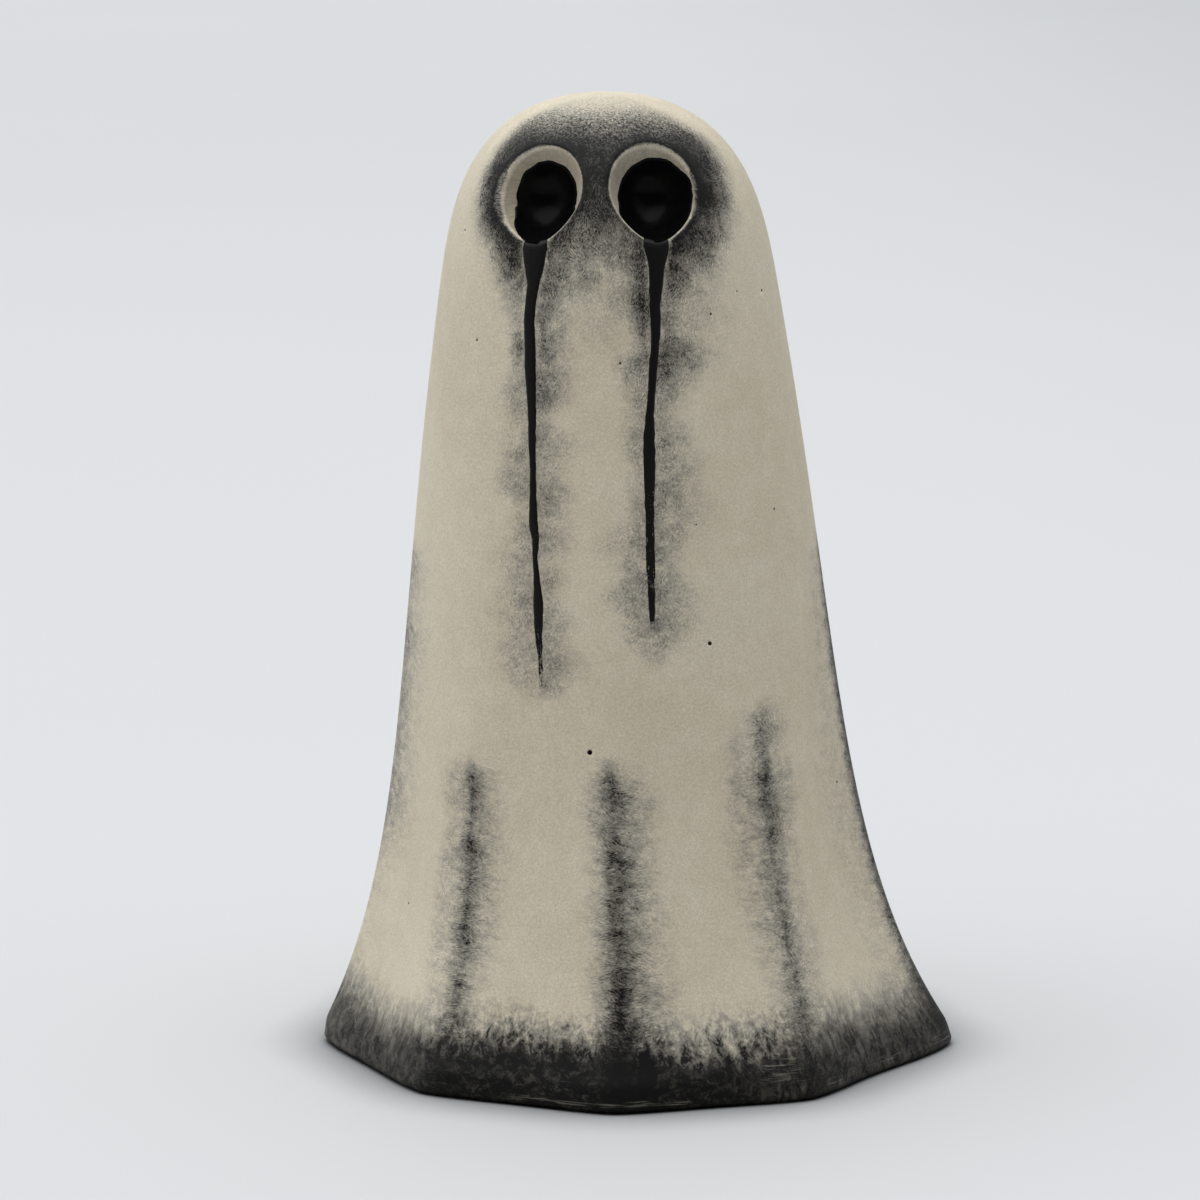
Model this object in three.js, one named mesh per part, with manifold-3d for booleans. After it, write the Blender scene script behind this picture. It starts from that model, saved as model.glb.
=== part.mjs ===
// Ghost figurine: a hollow slip-cast ceramic shell shaped like a draped sheet, with two egg-shaped
// eye bowls lined in gloss black, and a run of black enamel down from the lip of each bowl.
// Millimetres, +Z up. The face looks along -Y, and the shell stands on its foot ring at z = 0.

import * as THREE from 'three';
import Module from 'manifold-3d';
import { mergeVertices } from 'three/addons/utils/BufferGeometryUtils.js';

const wasm = await Module();
wasm.setup();

// Side profile of the shell
const height = 150;
const neckRadius = 21.2;
const sideTaper = 0.04;
const sideBulge = 5.5;
const hemFlare = 24;
const flareHeight = 34;
const crownHeight = 34.5;
const shoulderHeight = height - crownHeight;
const crownFullness = 4;
const crownRoundness = 2.25;

// The sheet hangs in flat panels between ridges. Each ridge reaches out a little more or less at
// the hem, and the head leans to one side.
const ridgeAngles = [0, 38, 87, 130.5, 180, 229.5, 278, 322];
const ridgeReach = [-0.8, -0.8, 1.9, 0.4, 0, -0.4, -0.8, -0.8];
const reachFade = 19;
const reachSpread = 36;
const panelFlatness = 0.84;
const panelFade = 110;
const ridgeSoftness = 1.2;
const lean = 4;
const leanCurve = 1.2;

// Cast wall and foot
const wall = 5;
const footRound = 1.2;
const footBevel = 0.8;

// Eye bowls: egg-shaped, wider above than below, sunk square to their own axis
const eyeDrop = 13.35;
const eyeHeight = height - eyeDrop;
const eyeHalfWidth = 6.75;
const eyeUpper = 7.3;
const eyeLower = 8.1;
const eyePinch = 0.24;
const eyeBridge = 4.4;
const bowlDepth = 8.6;
const bowlTilt = 27;
const bowlSplay = 7;
const bossWall = 3.6;

// Black lining of each bowl, and the line where it stops below the rim
const seatGap = 0.3;
const liningThickness = 0.7;
const liningDropTop = 3.7;
const liningDropLip = 0.7;

// Enamel runs: each row is a share of the length below the lip, the turn round the shell in degrees
// and a share of the width at the lip
const runThickness = 0.6;
const runProud = 0.3;
const leftRun = {
  length: 68,
  width: 3.7,
  rows: [
    [0, 0.8, 1], [0.044, 0.9, 0.82], [0.118, 0.3, 0.48], [0.25, 1, 0.48], [0.353, 2.2, 0.37],
    [0.471, 3, 0.29], [0.662, 4, 0.4], [0.779, 5.2, 0.4], [0.912, 6, 0.3], [1, 5.9, 0.19],
  ],
};
const rightRun = {
  length: 57,
  width: 3.6,
  rows: [
    [0, -1.9, 1], [0.053, -3.4, 0.67], [0.158, -5, 0.5], [0.281, -6.5, 0.42], [0.421, -8.5, 0.4],
    [0.632, -9.9, 0.45], [0.807, -10.5, 0.4], [0.912, -10.9, 0.33], [1, -10.9, 0.19],
  ],
};

// Mesh fineness
const columns = 80;
const sideRows = 22;
const crownRows = 13;

const degree = Math.PI / 180;
const clamp = THREE.MathUtils.clamp;

// Surface of the shell

function profileRadius(z) {
  const rise = clamp((z - shoulderHeight) / (height - shoulderHeight), 0, 1);
  const side = neckRadius + sideTaper * (height - z) + sideBulge * Math.sin(Math.PI * z / height)
    + hemFlare * Math.exp(-z / flareHeight);
  return side * (1 - rise ** crownFullness) ** (1 / crownRoundness);
}

// Extra reach of the nearest ridge, strongest at the hem
function hemReach(angle, z) {
  let reach = 0;
  ridgeAngles.forEach((ridge, i) => {
    const away = Math.abs(THREE.MathUtils.euclideanModulo(angle / degree - ridge + 180, 360) - 180);
    reach += ridgeReach[i] * THREE.MathUtils.smoothstep(1 - away / reachSpread, 0, 1);
  });
  return reach * Math.exp(-z / reachFade);
}

// How far the surface sinks between two ridges: 1 at a ridge and all over the head
function panelFactor(angle, z) {
  const turn = THREE.MathUtils.euclideanModulo(angle / degree, 360);
  const next = ridgeAngles.findIndex((ridge) => ridge > turn);
  const start = ridgeAngles.at(next < 0 ? -1 : next - 1);
  const end = next < 0 ? 360 : ridgeAngles[next];
  const across = (turn - start) / (end - start);
  const chordSink = 1 - Math.cos((end - start) / 2 * degree);
  const fade = 1 - THREE.MathUtils.smoothstep(z, 0, panelFade);
  return 1 - panelFlatness * fade * chordSink * Math.sin(Math.PI * across) ** ridgeSoftness;
}

// Turns a point of the plain revolved form into its place on the draped, leaning shell
function drape(point) {
  const z = clamp(point.z, 0, height);
  const angle = Math.atan2(point.x, -point.y);
  const radius = Math.hypot(point.x, point.y);
  const share = Math.min(1, radius / profileRadius(height / 2));
  const draped = (radius + share * hemReach(angle, z)) * panelFactor(angle, z);
  const offset = lean * (1 - (1 - z / height) ** leanCurve);
  return point.set(draped * Math.sin(angle) - offset, -draped * Math.cos(angle), point.z);
}

function surfacePoint(angle, z, lift = 0) {
  const place = (a, h) => {
    const r = profileRadius(h);
    return drape(new THREE.Vector3(r * Math.sin(a), -r * Math.cos(a), h));
  };
  const point = place(angle, z);
  const step = 0.01;
  const alongAngle = place(angle + step, z).sub(place(angle - step, z));
  const alongHeight = place(angle, z + step).sub(place(angle, z - step));
  const normal = alongAngle.cross(alongHeight).normalize();
  return point.addScaledVector(normal, lift);
}

// Helpers

function toSolid(geometry) {
  const plain = geometry.clone();
  plain.deleteAttribute('normal');
  plain.deleteAttribute('uv');
  const merged = mergeVertices(plain, 1e-4);
  const index = [...merged.index.array];
  const corners = [];
  for (let i = 0; i < index.length; i += 3) {
    const [a, b, c] = index.slice(i, i + 3);
    if (a !== b && b !== c && c !== a) corners.push(a, b, c);
  }
  return new wasm.Manifold(new wasm.Mesh({
    numProp: 3,
    vertProperties: new Float32Array(merged.attributes.position.array),
    triVerts: new Uint32Array(corners),
  }));
}

function toGeometry(solid) {
  const mesh = solid.getMesh();
  const geometry = new THREE.BufferGeometry();
  geometry.setAttribute('position', new THREE.BufferAttribute(mesh.vertProperties, 3));
  geometry.setIndex(new THREE.BufferAttribute(mesh.triVerts, 1));
  geometry.computeVertexNormals();
  return geometry;
}

function reshape(geometry, change) {
  const place = geometry.attributes.position;
  const point = new THREE.Vector3();
  for (let i = 0; i < place.count; i++) {
    change(point.fromBufferAttribute(place, i));
    place.setXYZ(i, point.x, point.y, point.z);
  }
  return geometry;
}

// Closed skin through a row of rings that all have the same number of points
function loft(rings) {
  const count = rings[0].length;
  const points = rings.flat();
  const index = [];
  for (let row = 0; row + 1 < rings.length; row++) {
    for (let i = 0; i < count; i++) {
      const a = row * count + i;
      const b = row * count + (i + 1) % count;
      index.push(a, b, a + count, b, b + count, a + count);
    }
  }
  const last = (rings.length - 1) * count;
  for (let i = 1; i + 1 < count; i++) {
    index.push(0, i + 1, i, last, last + i, last + i + 1);
  }
  const geometry = new THREE.BufferGeometry().setFromPoints(points);
  geometry.setIndex(index);
  return toSolid(geometry);
}

// Shell

// Heights of the profile's points: closer together near the hem, then round the crown
function profileHeights(rows, crown) {
  const heights = [];
  for (let i = 0; i <= rows; i++) {
    heights.push(footRound + (shoulderHeight - footRound) * (i / rows) ** 1.3);
  }
  for (let i = 1; i < crown; i++) {
    const share = Math.cos(i / crown * Math.PI / 2);
    const rise = (1 - share ** crownRoundness) ** (1 / crownFullness);
    heights.push(shoulderHeight + (height - shoulderHeight) * rise);
  }
  return heights;
}

// Profile set in from the outer skin by a constant thickness
function insetProfile(z, inset) {
  const step = 0.01;
  const slope = (profileRadius(z + step) - profileRadius(z - step)) / (2 * step);
  const length = Math.hypot(1, slope);
  return new THREE.Vector2(profileRadius(z) - inset / length, z + inset * slope / length);
}

function drapedRevolve(profile, segments) {
  const geometry = new THREE.LatheGeometry(profile, segments);
  geometry.rotateX(Math.PI / 2);
  return toSolid(reshape(geometry, drape));
}

function outerSkin() {
  const profile = [new THREE.Vector2(0, 0)];
  for (let i = 0; i <= 3; i++) {
    const turn = i / 3 * Math.PI / 2;
    const setIn = footRound * (1 - Math.sin(turn));
    profile.push(new THREE.Vector2(profileRadius(footRound) - setIn, footRound * (1 - Math.cos(turn))));
  }
  for (const z of profileHeights(sideRows, crownRows).slice(1)) {
    profile.push(new THREE.Vector2(profileRadius(z), z));
  }
  profile.push(new THREE.Vector2(0, height));
  return drapedRevolve(profile, columns);
}

function cavity() {
  const mouth = profileRadius(footRound) - wall;
  const profile = [
    new THREE.Vector2(0, -footBevel),
    new THREE.Vector2(mouth + 2 * footBevel, -footBevel),
    new THREE.Vector2(mouth, footBevel),
  ];
  const heights = profileHeights(sideRows / 2, Math.ceil(crownRows / 2)).slice(1);
  for (const z of heights) profile.push(insetProfile(z, wall));
  profile.push(new THREE.Vector2(0, height - wall));
  return drapedRevolve(profile, columns / 2);
}

// Eye bowls

const eyeAngle = Math.asin((eyeHalfWidth + eyeBridge / 2) / profileRadius(eyeHeight));

// Frame of one bowl: its middle on the skin, Y outwards along its axis, Z down across its rim
function bowlFrame(side) {
  const splay = side * bowlSplay * degree;
  const tilt = bowlTilt * degree;
  const out = new THREE.Vector3(
    Math.sin(splay) * Math.cos(tilt), -Math.cos(splay) * Math.cos(tilt), Math.sin(tilt));
  const right = new THREE.Vector3(Math.cos(splay), Math.sin(splay), 0);
  const down = new THREE.Vector3().crossVectors(right, out);
  const matrix = new THREE.Matrix4().makeBasis(right, out, down);
  matrix.setPosition(surfacePoint(side * eyeAngle, eyeHeight));
  return matrix;
}

// The lathe's axis is Y; its X and Z lie in the rim's plane, with the crown of the head at -Z
function eggOutline(point, grow) {
  const above = point.z < 0;
  const reach = (above ? eyeUpper : eyeLower) + grow;
  const share = point.z / (eyeHalfWidth + grow);
  const pinch = above ? 1 : 1 - eyePinch * share * share;
  return point.set(point.x * pinch, point.y, share * reach);
}

// Solid bowl: a quarter ellipse revolved, then straight up to `top` above the rim
function bowlSolid(side, grow, top) {
  const profile = [];
  for (let i = 0; i <= 8; i++) {
    const turn = i / 8 * Math.PI / 2;
    const radius = (eyeHalfWidth + grow) * Math.sin(turn);
    profile.push(new THREE.Vector2(radius, -(bowlDepth + grow) * Math.cos(turn)));
  }
  profile.push(new THREE.Vector2(eyeHalfWidth + grow, top), new THREE.Vector2(0, top));
  const geometry = new THREE.LatheGeometry(profile, 36);
  reshape(geometry, (point) => eggOutline(point, grow));
  geometry.applyMatrix4(bowlFrame(side));
  return toSolid(geometry);
}

// Everything deeper in the bowl than the line where the black lining stops
function belowLiningLine(side) {
  const size = 4 * (eyeUpper + eyeLower);
  const box = new THREE.BoxGeometry(size, size, size);
  const slope = (liningDropTop - liningDropLip) / (eyeUpper + eyeLower);
  const middleDrop = liningDropLip + slope * eyeLower;
  box.translate(0, -size / 2, 0);
  box.rotateX(-Math.atan(slope));
  box.translate(0, -middleDrop, 0);
  box.applyMatrix4(bowlFrame(side));
  return toSolid(box);
}

function eyeLining(side) {
  const outside = bowlSolid(side, -seatGap, 1);
  const inside = bowlSolid(side, -seatGap - liningThickness, 2);
  return outside.subtract(inside).intersect(belowLiningLine(side));
}

// Enamel runs

// Height at which the skin comes out from under the bowl's lower lip
function lipHeight(side) {
  const toBowl = bowlFrame(side).invert();
  let z = eyeHeight;
  while (surfacePoint(side * eyeAngle, z).applyMatrix4(toBowl).z < eyeLower + seatGap) z -= 0.05;
  return z;
}

// Rings across a run, from `low` to `high` over the skin, `grow` wider on each side
function runRings(side, run, low, high, grow) {
  const lip = lipHeight(side);
  const path = new THREE.CatmullRomCurve3(run.rows.map(([drop, turn, width]) => new THREE.Vector3(
    side * eyeAngle / degree + turn, lip - drop * run.length, width * run.width)), false, 'centripetal');
  const rings = [];
  const steps = 30;
  for (let i = 0; i <= steps; i++) {
    const place = path.getPoint(i / steps);
    const z = place.y + grow * (1 - 2 * i / steps);
    const halfAngle = (place.z / 2 + grow) / profileRadius(z);
    const across = [-1, -0.75, 0, 0.75, 1];
    const crown = [0.45, 0.9, 1, 0.9, 0.45];
    const middle = place.x * degree;
    const top = across.map((share, k) =>
      surfacePoint(middle + share * halfAngle, z, low + (high - low) * crown[k]));
    const bottom = [-1, 1].map((share) => surfacePoint(middle + share * halfAngle, z, low));
    rings.push([...bottom, ...top.reverse()]);
  }
  return rings;
}

function enamelRun(side, run) {
  return loft(runRings(side, run, runProud - runThickness, runProud, 0));
}

// Shallow groove that the run lies in, open to the outside
function runGroove(side, run) {
  return loft(runRings(side, run, runProud - runThickness - seatGap, 3, seatGap));
}

// Assembly

function shell() {
  const hollow = cavity()
    .subtract(bowlSolid(-1, bossWall, 3 * wall))
    .subtract(bowlSolid(1, bossWall, 3 * wall));
  return outerSkin()
    .subtract(hollow)
    .subtract(bowlSolid(-1, 0, 3 * wall))
    .subtract(bowlSolid(1, 0, 3 * wall))
    .subtract(runGroove(-1, leftRun))
    .subtract(runGroove(1, rightRun));
}

const creamGlaze = new THREE.MeshStandardMaterial({ color: 0xb9ae98, roughness: 0.55, metalness: 0 });
const glossBlack = new THREE.MeshStandardMaterial({ color: 0x070707, roughness: 0.08, metalness: 0 });
const satinBlack = new THREE.MeshStandardMaterial({ color: 0x161514, roughness: 0.35, metalness: 0 });

const ghost = new THREE.Group();

function addPiece(name, solid, material) {
  const mesh = new THREE.Mesh(toGeometry(solid), material);
  mesh.name = name;
  ghost.add(mesh);
}

addPiece('ghost_shell', shell(), creamGlaze);
addPiece('left_eye_lining', eyeLining(-1), glossBlack.clone());
addPiece('right_eye_lining', eyeLining(1), glossBlack.clone());
addPiece('left_tear_run', enamelRun(-1, leftRun), satinBlack.clone());
addPiece('right_tear_run', enamelRun(1, rightRun), satinBlack.clone());

// The frame's origin is the middle of the footprint
const middle = new THREE.Box3().setFromObject(ghost).getCenter(new THREE.Vector3());
ghost.position.set(-middle.x, -middle.y, 0);

export default ghost;
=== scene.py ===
import bpy
import bmesh
import math
import numpy as np
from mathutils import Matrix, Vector, noise


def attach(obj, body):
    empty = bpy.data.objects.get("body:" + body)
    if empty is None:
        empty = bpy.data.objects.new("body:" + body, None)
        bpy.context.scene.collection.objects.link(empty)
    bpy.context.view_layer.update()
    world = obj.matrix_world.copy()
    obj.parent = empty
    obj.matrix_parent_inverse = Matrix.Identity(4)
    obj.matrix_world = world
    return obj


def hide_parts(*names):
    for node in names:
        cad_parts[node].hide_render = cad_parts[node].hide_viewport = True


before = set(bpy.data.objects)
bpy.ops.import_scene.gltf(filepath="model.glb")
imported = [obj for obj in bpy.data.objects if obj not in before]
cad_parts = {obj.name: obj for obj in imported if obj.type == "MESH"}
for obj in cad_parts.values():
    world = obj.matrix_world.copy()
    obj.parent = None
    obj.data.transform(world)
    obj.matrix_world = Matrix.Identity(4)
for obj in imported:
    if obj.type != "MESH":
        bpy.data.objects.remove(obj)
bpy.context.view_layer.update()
mm = 0.001
print("frame loaded")


# Wiring helpers: a Wire is one output socket, and + - * / on it add Math nodes


def plug(tree, socket, value):
    if isinstance(value, Wire):
        tree.links.new(value.socket, socket)
    else:
        socket.default_value = value


def maths(tree, operation, *values, clamp=False):
    node = tree.nodes.new("ShaderNodeMath")
    node.operation = operation
    node.use_clamp = clamp
    for place, value in enumerate(values):
        plug(tree, node.inputs[place], value)
    return Wire(tree, node.outputs[0])


class Wire:
    def __init__(self, tree, socket):
        self.tree = tree
        self.socket = socket

    def __add__(self, other):
        return maths(self.tree, "ADD", self, other)

    def __radd__(self, other):
        return maths(self.tree, "ADD", other, self)

    def __sub__(self, other):
        return maths(self.tree, "SUBTRACT", self, other)

    def __rsub__(self, other):
        return maths(self.tree, "SUBTRACT", other, self)

    def __mul__(self, other):
        return maths(self.tree, "MULTIPLY", self, other)

    def __rmul__(self, other):
        return maths(self.tree, "MULTIPLY", other, self)

    def __truediv__(self, other):
        return maths(self.tree, "DIVIDE", self, other)

    def __pow__(self, other):
        return maths(self.tree, "POWER", self, other)

    def __abs__(self):
        return maths(self.tree, "ABSOLUTE", self)

    def clamped(self):
        return maths(self.tree, "ADD", self, 0.0, clamp=True)

    def atLeast(self, other):
        return maths(self.tree, "MAXIMUM", self, other)

    def output(self, name):
        node = self.socket.node
        return Wire(self.tree, next(s for s in node.outputs if s.name == name and s.enabled))


class Board:
    def __init__(self, tree):
        self.tree = tree

    def add(self, kind, settings=None, sockets=None, output=None):
        node = self.tree.nodes.new(kind)
        for name, value in (settings or {}).items():
            setattr(node, name, value)
        for name, value in (sockets or {}).items():
            if isinstance(name, int):
                socket = node.inputs[name]
            else:
                socket = next(s for s in node.inputs if s.name == name and s.enabled)
            plug(self.tree, socket, value)
        if not node.outputs:
            return node
        first = next(s for s in node.outputs if s.enabled and (output is None or s.name == output))
        return Wire(self.tree, first)

    def step(self, value, low, high, outLow=0.0, outHigh=1.0):
        return self.add("ShaderNodeMapRange", {"interpolation_type": "SMOOTHSTEP"},
                        {"Value": value, "From Min": low, "From Max": high,
                         "To Min": outLow, "To Max": outHigh})

    def noiseOf(self, place, scale, detail=2.0, roughness=0.55, distortion=0.0):
        return self.add("ShaderNodeTexNoise", {"noise_dimensions": "3D"},
                        {"Vector": place, "Scale": scale, "Detail": detail,
                         "Roughness": roughness, "Distortion": distortion})

    def blend(self, share, first, second):
        return self.add("ShaderNodeMix", {"data_type": "RGBA"},
                        {"Factor": share, "A": first, "B": second})

    def scaled(self, vector, share):
        return self.add("ShaderNodeVectorMath", {"operation": "SCALE"}, {"Vector": vector, "Scale": share})

    def millimetres(self):
        # The point on the object, in millimetres
        return self.scaled(self.add("ShaderNodeTexCoord", {}, {}, "Object"), 1.0 / mm)

    def bump(self, strength, depth, height):
        return self.add("ShaderNodeBump", {}, {"Strength": strength, "Distance": depth, "Height": height})

    def apart(self, vector):
        # The X of a vector; the others come from output()
        return self.add("ShaderNodeSeparateXYZ", {}, {"Vector": vector}, "X")

    def onMap(self, name):
        return self.apart(self.add("ShaderNodeUVMap", {"uv_map": name}))

    def vector(self, x, y, z):
        return self.add("ShaderNodeCombineXYZ", {}, {"X": x, "Y": y, "Z": z})

    def attribute(self, name):
        return self.add("ShaderNodeAttribute", {"attribute_name": name}, {}, "Fac")


def newMaterial(name):
    material = bpy.data.materials.new(name)
    material.use_nodes = True
    material.node_tree.nodes.clear()
    return material, Board(material.node_tree)


def finishMaterial(board, sockets):
    shader = board.add("ShaderNodeBsdfPrincipled", {}, sockets)
    board.add("ShaderNodeOutputMaterial", {}, {"Surface": shader})


def colour(red, green, blue):
    return (red, green, blue, 1.0)


# The ghost's form, in millimetres: a revolved profile, draped into panels between ridges

ghost = {
    "height": 150.0, "neckRadius": 21.2, "sideTaper": 0.04, "sideBulge": 5.5,
    "hemFlare": 24.0, "flareHeight": 34.0, "shoulderHeight": 115.5,
    "footTuck": 1.2, "tuckHeight": 4.5,
    "crownFullness": 4.0, "crownRoundness": 2.25,
    "ridgeAngles": [0, 38, 87, 130.5, 180, 229.5, 278, 322],
    "ridgeReach": [-0.8, -0.8, 1.9, 0.4, 0, -0.4, -0.8, -0.8],
    "reachFade": 19.0, "reachSpread": 36.0,
    "panelFlatness": 0.84, "panelFade": 110.0, "ridgeSoftness": 1.2,
    "lean": 4.0, "leanCurve": 1.2, "wall": 5.0, "footRound": 1.2, "footBevel": 0.8,
    "middleX": 1.394, "middleY": 0.376,
    "columns": 320, "sideRows": 150, "crownRows": 44, "insideRows": 44, "insideCrownRows": 16,
    "rowCrowding": 1.15, "insideCrowding": 1.1,  # above 1, rows crowd towards the foot
    "rowGap": 0.8, "filledHeight": 20.0, "rowClearance": 0.3,  # the even rows above the shoulder
}


def softStep(x):
    x = np.clip(x, 0.0, 1.0)
    return x * x * (3.0 - 2.0 * x)


def rowsAt(rows, key):
    # Reads every column of a list at the given heights or turns
    table = np.array(sorted(rows), float)
    return [np.interp(key, table[:, 0], table[:, i]) for i in range(1, table.shape[1])]


def profileRadius(z):
    rise = np.clip((z - ghost["shoulderHeight"]) / (ghost["height"] - ghost["shoulderHeight"]), 0, 1)
    side = (ghost["neckRadius"] + ghost["sideTaper"] * (ghost["height"] - z)
            + ghost["sideBulge"] * np.sin(np.pi * z / ghost["height"])
            + ghost["hemFlare"] * np.exp(-z / ghost["flareHeight"])
            - ghost["footTuck"] * softStep(1.0 - z / ghost["tuckHeight"]))
    return side * (1.0 - rise ** ghost["crownFullness"]) ** (1.0 / ghost["crownRoundness"])


def ridgeReachAt(degrees, z):
    reach = 0.0
    for ridge, amount in zip(ghost["ridgeAngles"], ghost["ridgeReach"]):
        away = np.abs((degrees - ridge + 180.0) % 360.0 - 180.0)
        reach = reach + amount * softStep(1.0 - away / ghost["reachSpread"])
    return reach * np.exp(-z / ghost["reachFade"])


def panelFactor(degrees, z):
    turn = degrees % 360.0
    edges = np.array(ghost["ridgeAngles"] + [360.0], float)
    panel = np.clip(np.searchsorted(edges, turn, side="right") - 1, 0, len(edges) - 2)
    start, end = edges[panel], edges[panel + 1]
    across = np.clip((turn - start) / (end - start), 0.0, 1.0)
    sink = 1.0 - np.cos(np.radians((end - start) / 2.0))
    fade = 1.0 - softStep(z / ghost["panelFade"])
    return 1.0 - ghost["panelFlatness"] * fade * sink * np.sin(np.pi * across) ** ghost["ridgeSoftness"]


def leanAt(z):
    return ghost["lean"] * (1.0 - (1.0 - z / ghost["height"]) ** ghost["leanCurve"])


def drape(degrees, radius, height):
    z = np.clip(height, 0.0, ghost["height"])
    share = np.minimum(1.0, radius / profileRadius(np.array(ghost["height"] / 2)))
    draped = (radius + share * ridgeReachAt(degrees, z)) * panelFactor(degrees, z)
    turn = np.radians(degrees)
    x = draped * np.sin(turn) - leanAt(z) - ghost["middleX"]
    y = -draped * np.cos(turn) - ghost["middleY"]
    return np.stack([x, y, height + 0.0 * x], -1)


def skinAt(degrees, z, lift=0.0):
    degrees, z = np.broadcast_arrays(np.asarray(degrees, float), np.asarray(z, float))
    place = drape(degrees, profileRadius(z), z)
    step = 0.02
    radius, above, below = profileRadius(z), z + step, z - step
    alongTurn = drape(degrees + step, radius, z) - drape(degrees - step, radius, z)
    alongHeight = drape(degrees, profileRadius(above), above) - drape(degrees, profileRadius(below), below)
    normal = np.cross(alongTurn, alongHeight)
    normal /= np.linalg.norm(normal, axis=-1, keepdims=True)
    return place + normal * np.asarray(lift, float)[..., None]


def whereOnSkin(points):
    # The turn and height of points, and how far under the skin they lie
    z = np.clip(points[..., 2], 0.0, ghost["height"] - 0.001)
    x = points[..., 0] + ghost["middleX"] + leanAt(z)
    y = points[..., 1] + ghost["middleY"]
    degrees = np.degrees(np.arctan2(x, -y))
    skin = drape(degrees, profileRadius(z), z)
    reach = np.hypot(skin[..., 0] + ghost["middleX"] + leanAt(z), skin[..., 1] + ghost["middleY"])
    return degrees, z, reach - np.hypot(x, y)


# Eye bowls: clock is 0 at the crown side of the rim and grows clockwise, seen from the front

bowl = {
    "height": 136.65, "halfWidth": 6.75, "upper": 7.3, "lower": 8.1, "pinch": 0.24, "bridge": 4.4,
    "depth": 8.6, "tilt": 27.0, "splay": 7.0, "bossWall": 3.6,
    "clocks": 144, "rows": 22,
    # brushed: how dark the painted shade is on the bare wall above each coat
    "turnedBy": {-1: -0.6, 1: -1.15}, "raisedBy": {-1: 0.0, 1: 0.3}, "brushed": {-1: 0.1, 1: 0.14},
    # radius of the rounded rim: clock, millimetres
    "rimRound": {
        -1: [(0, 0.8), (90, 0.5), (150, 0.7), (180, 0.85), (210, 0.8), (270, 0.95), (360, 0.8)],
        1: [(0, 1.0), (90, 0.45), (150, 0.6), (180, 0.85), (210, 0.75), (270, 0.75), (360, 1.0)],
    },
}
eyeTurn = math.degrees(math.asin((bowl["halfWidth"] + bowl["bridge"] / 2)
                                 / float(profileRadius(np.array(bowl["height"])))))


def bowlAxes(side):
    splay, tilt = math.radians(side * bowl["splay"]), math.radians(bowl["tilt"])
    out = np.array([math.sin(splay) * math.cos(tilt), -math.cos(splay) * math.cos(tilt), math.sin(tilt)])
    right = np.array([math.cos(splay), math.sin(splay), 0.0])
    middle = skinAt(side * eyeTurn + bowl["turnedBy"][side], bowl["height"] + bowl["raisedBy"][side])
    return middle, right, out, np.cross(right, out)


def bowlFrame(side, points):
    # Points as seen from a bowl: to the right, outwards and down
    origin, right, out, down = bowlAxes(side)
    return (points - origin) @ right, (points - origin) @ out, (points - origin) @ down


def eggPlace(side, clock, radius, outward, beyond=0.0, grow=0.0):
    # radius runs from 0 to halfWidth; beyond goes on past the wall, straight out in the rim's plane
    origin, right, out, down = bowlAxes(side)
    x, z = radius * np.sin(clock), -radius * np.cos(clock)
    share = z / (bowl["halfWidth"] + grow)
    reach = np.where(z < 0, bowl["upper"], bowl["lower"]) + grow
    x = x * np.where(z < 0, 1.0, 1.0 - bowl["pinch"] * share ** 2)
    z = share * reach
    length = np.maximum(np.hypot(x, z), 1e-9)
    x, z = x * (1 + beyond / length), z * (1 + beyond / length)
    return (origin + x[..., None] * right + z[..., None] * down
            + (outward + 0.0 * x)[..., None] * out)


def wallRadius(outward, grow=0.0):
    depth = bowl["depth"] + grow
    return (bowl["halfWidth"] + grow) * np.sqrt(np.clip(1.0 - (np.minimum(outward, 0) / depth) ** 2, 0, 1))


def rimHeight(side, clock, beyond=0.0):
    # Where the wall, or a line just beyond it, comes out through the skin, found by halving
    lowest, highest, halvings = -5.0, 6.0, 36
    low, high = np.full_like(clock, lowest), np.full_like(clock, highest)
    for _ in range(halvings):
        middle = (low + high) / 2
        point = eggPlace(side, clock, wallRadius(middle), middle, beyond)
        inside = whereOnSkin(point)[2] > 0
        low, high = np.where(inside, middle, low), np.where(inside, high, middle)
    return (low + high) / 2


def rimRound(side, clock, share, early=0.0):
    # The rounded rim: share 0 is its foot on the wall and 1 its top on the skin
    size = rowsAt(bowl["rimRound"][side], np.degrees(clock) % 360)[0]
    rim = rimHeight(side, clock)
    step = 0.6
    slope = (rimHeight(side, clock, step) - rim) / step
    length = np.sqrt(1 + slope ** 2)
    centre = rim + slope * size - size * length
    last = np.arctan2(1.0, -slope) + early
    angle = np.pi + (last - np.pi) * share
    return centre, size * (1 + np.cos(angle)), centre + size * np.sin(angle), angle


def newPiece(name, points, faces):
    mesh = bpy.data.meshes.new(name)
    mesh.from_pydata(points, [], faces)
    mesh.update()
    piece = bpy.data.objects.new(name, mesh)
    bpy.context.scene.collection.objects.link(piece)
    return piece


def ringMesh(name, rings, firstPole=None, lastPole=None, closed=True):
    # Quads between rings of points, with a fan at each pole
    rings = np.asarray(rings)
    rows, count = rings.shape[:2]
    points = rings.reshape(-1, 3).tolist()
    faces = []
    span = count if closed else count - 1
    for row in range(rows - 1):
        for i in range(span):
            a, b = row * count + i, row * count + (i + 1) % count
            faces.append((a, b, b + count, a + count))
    if firstPole is not None:
        points.append(list(firstPole))
        top = len(points) - 1
        faces += [(top, (i + 1) % count, i) for i in range(span)]
    if lastPole is not None:
        points.append(list(lastPole))
        bottom, start = len(points) - 1, (rows - 1) * count
        faces += [(bottom, start + i, start + (i + 1) % count) for i in range(span)]
    return newPiece(name, [[v * mm for v in point] for point in points], faces)


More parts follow.
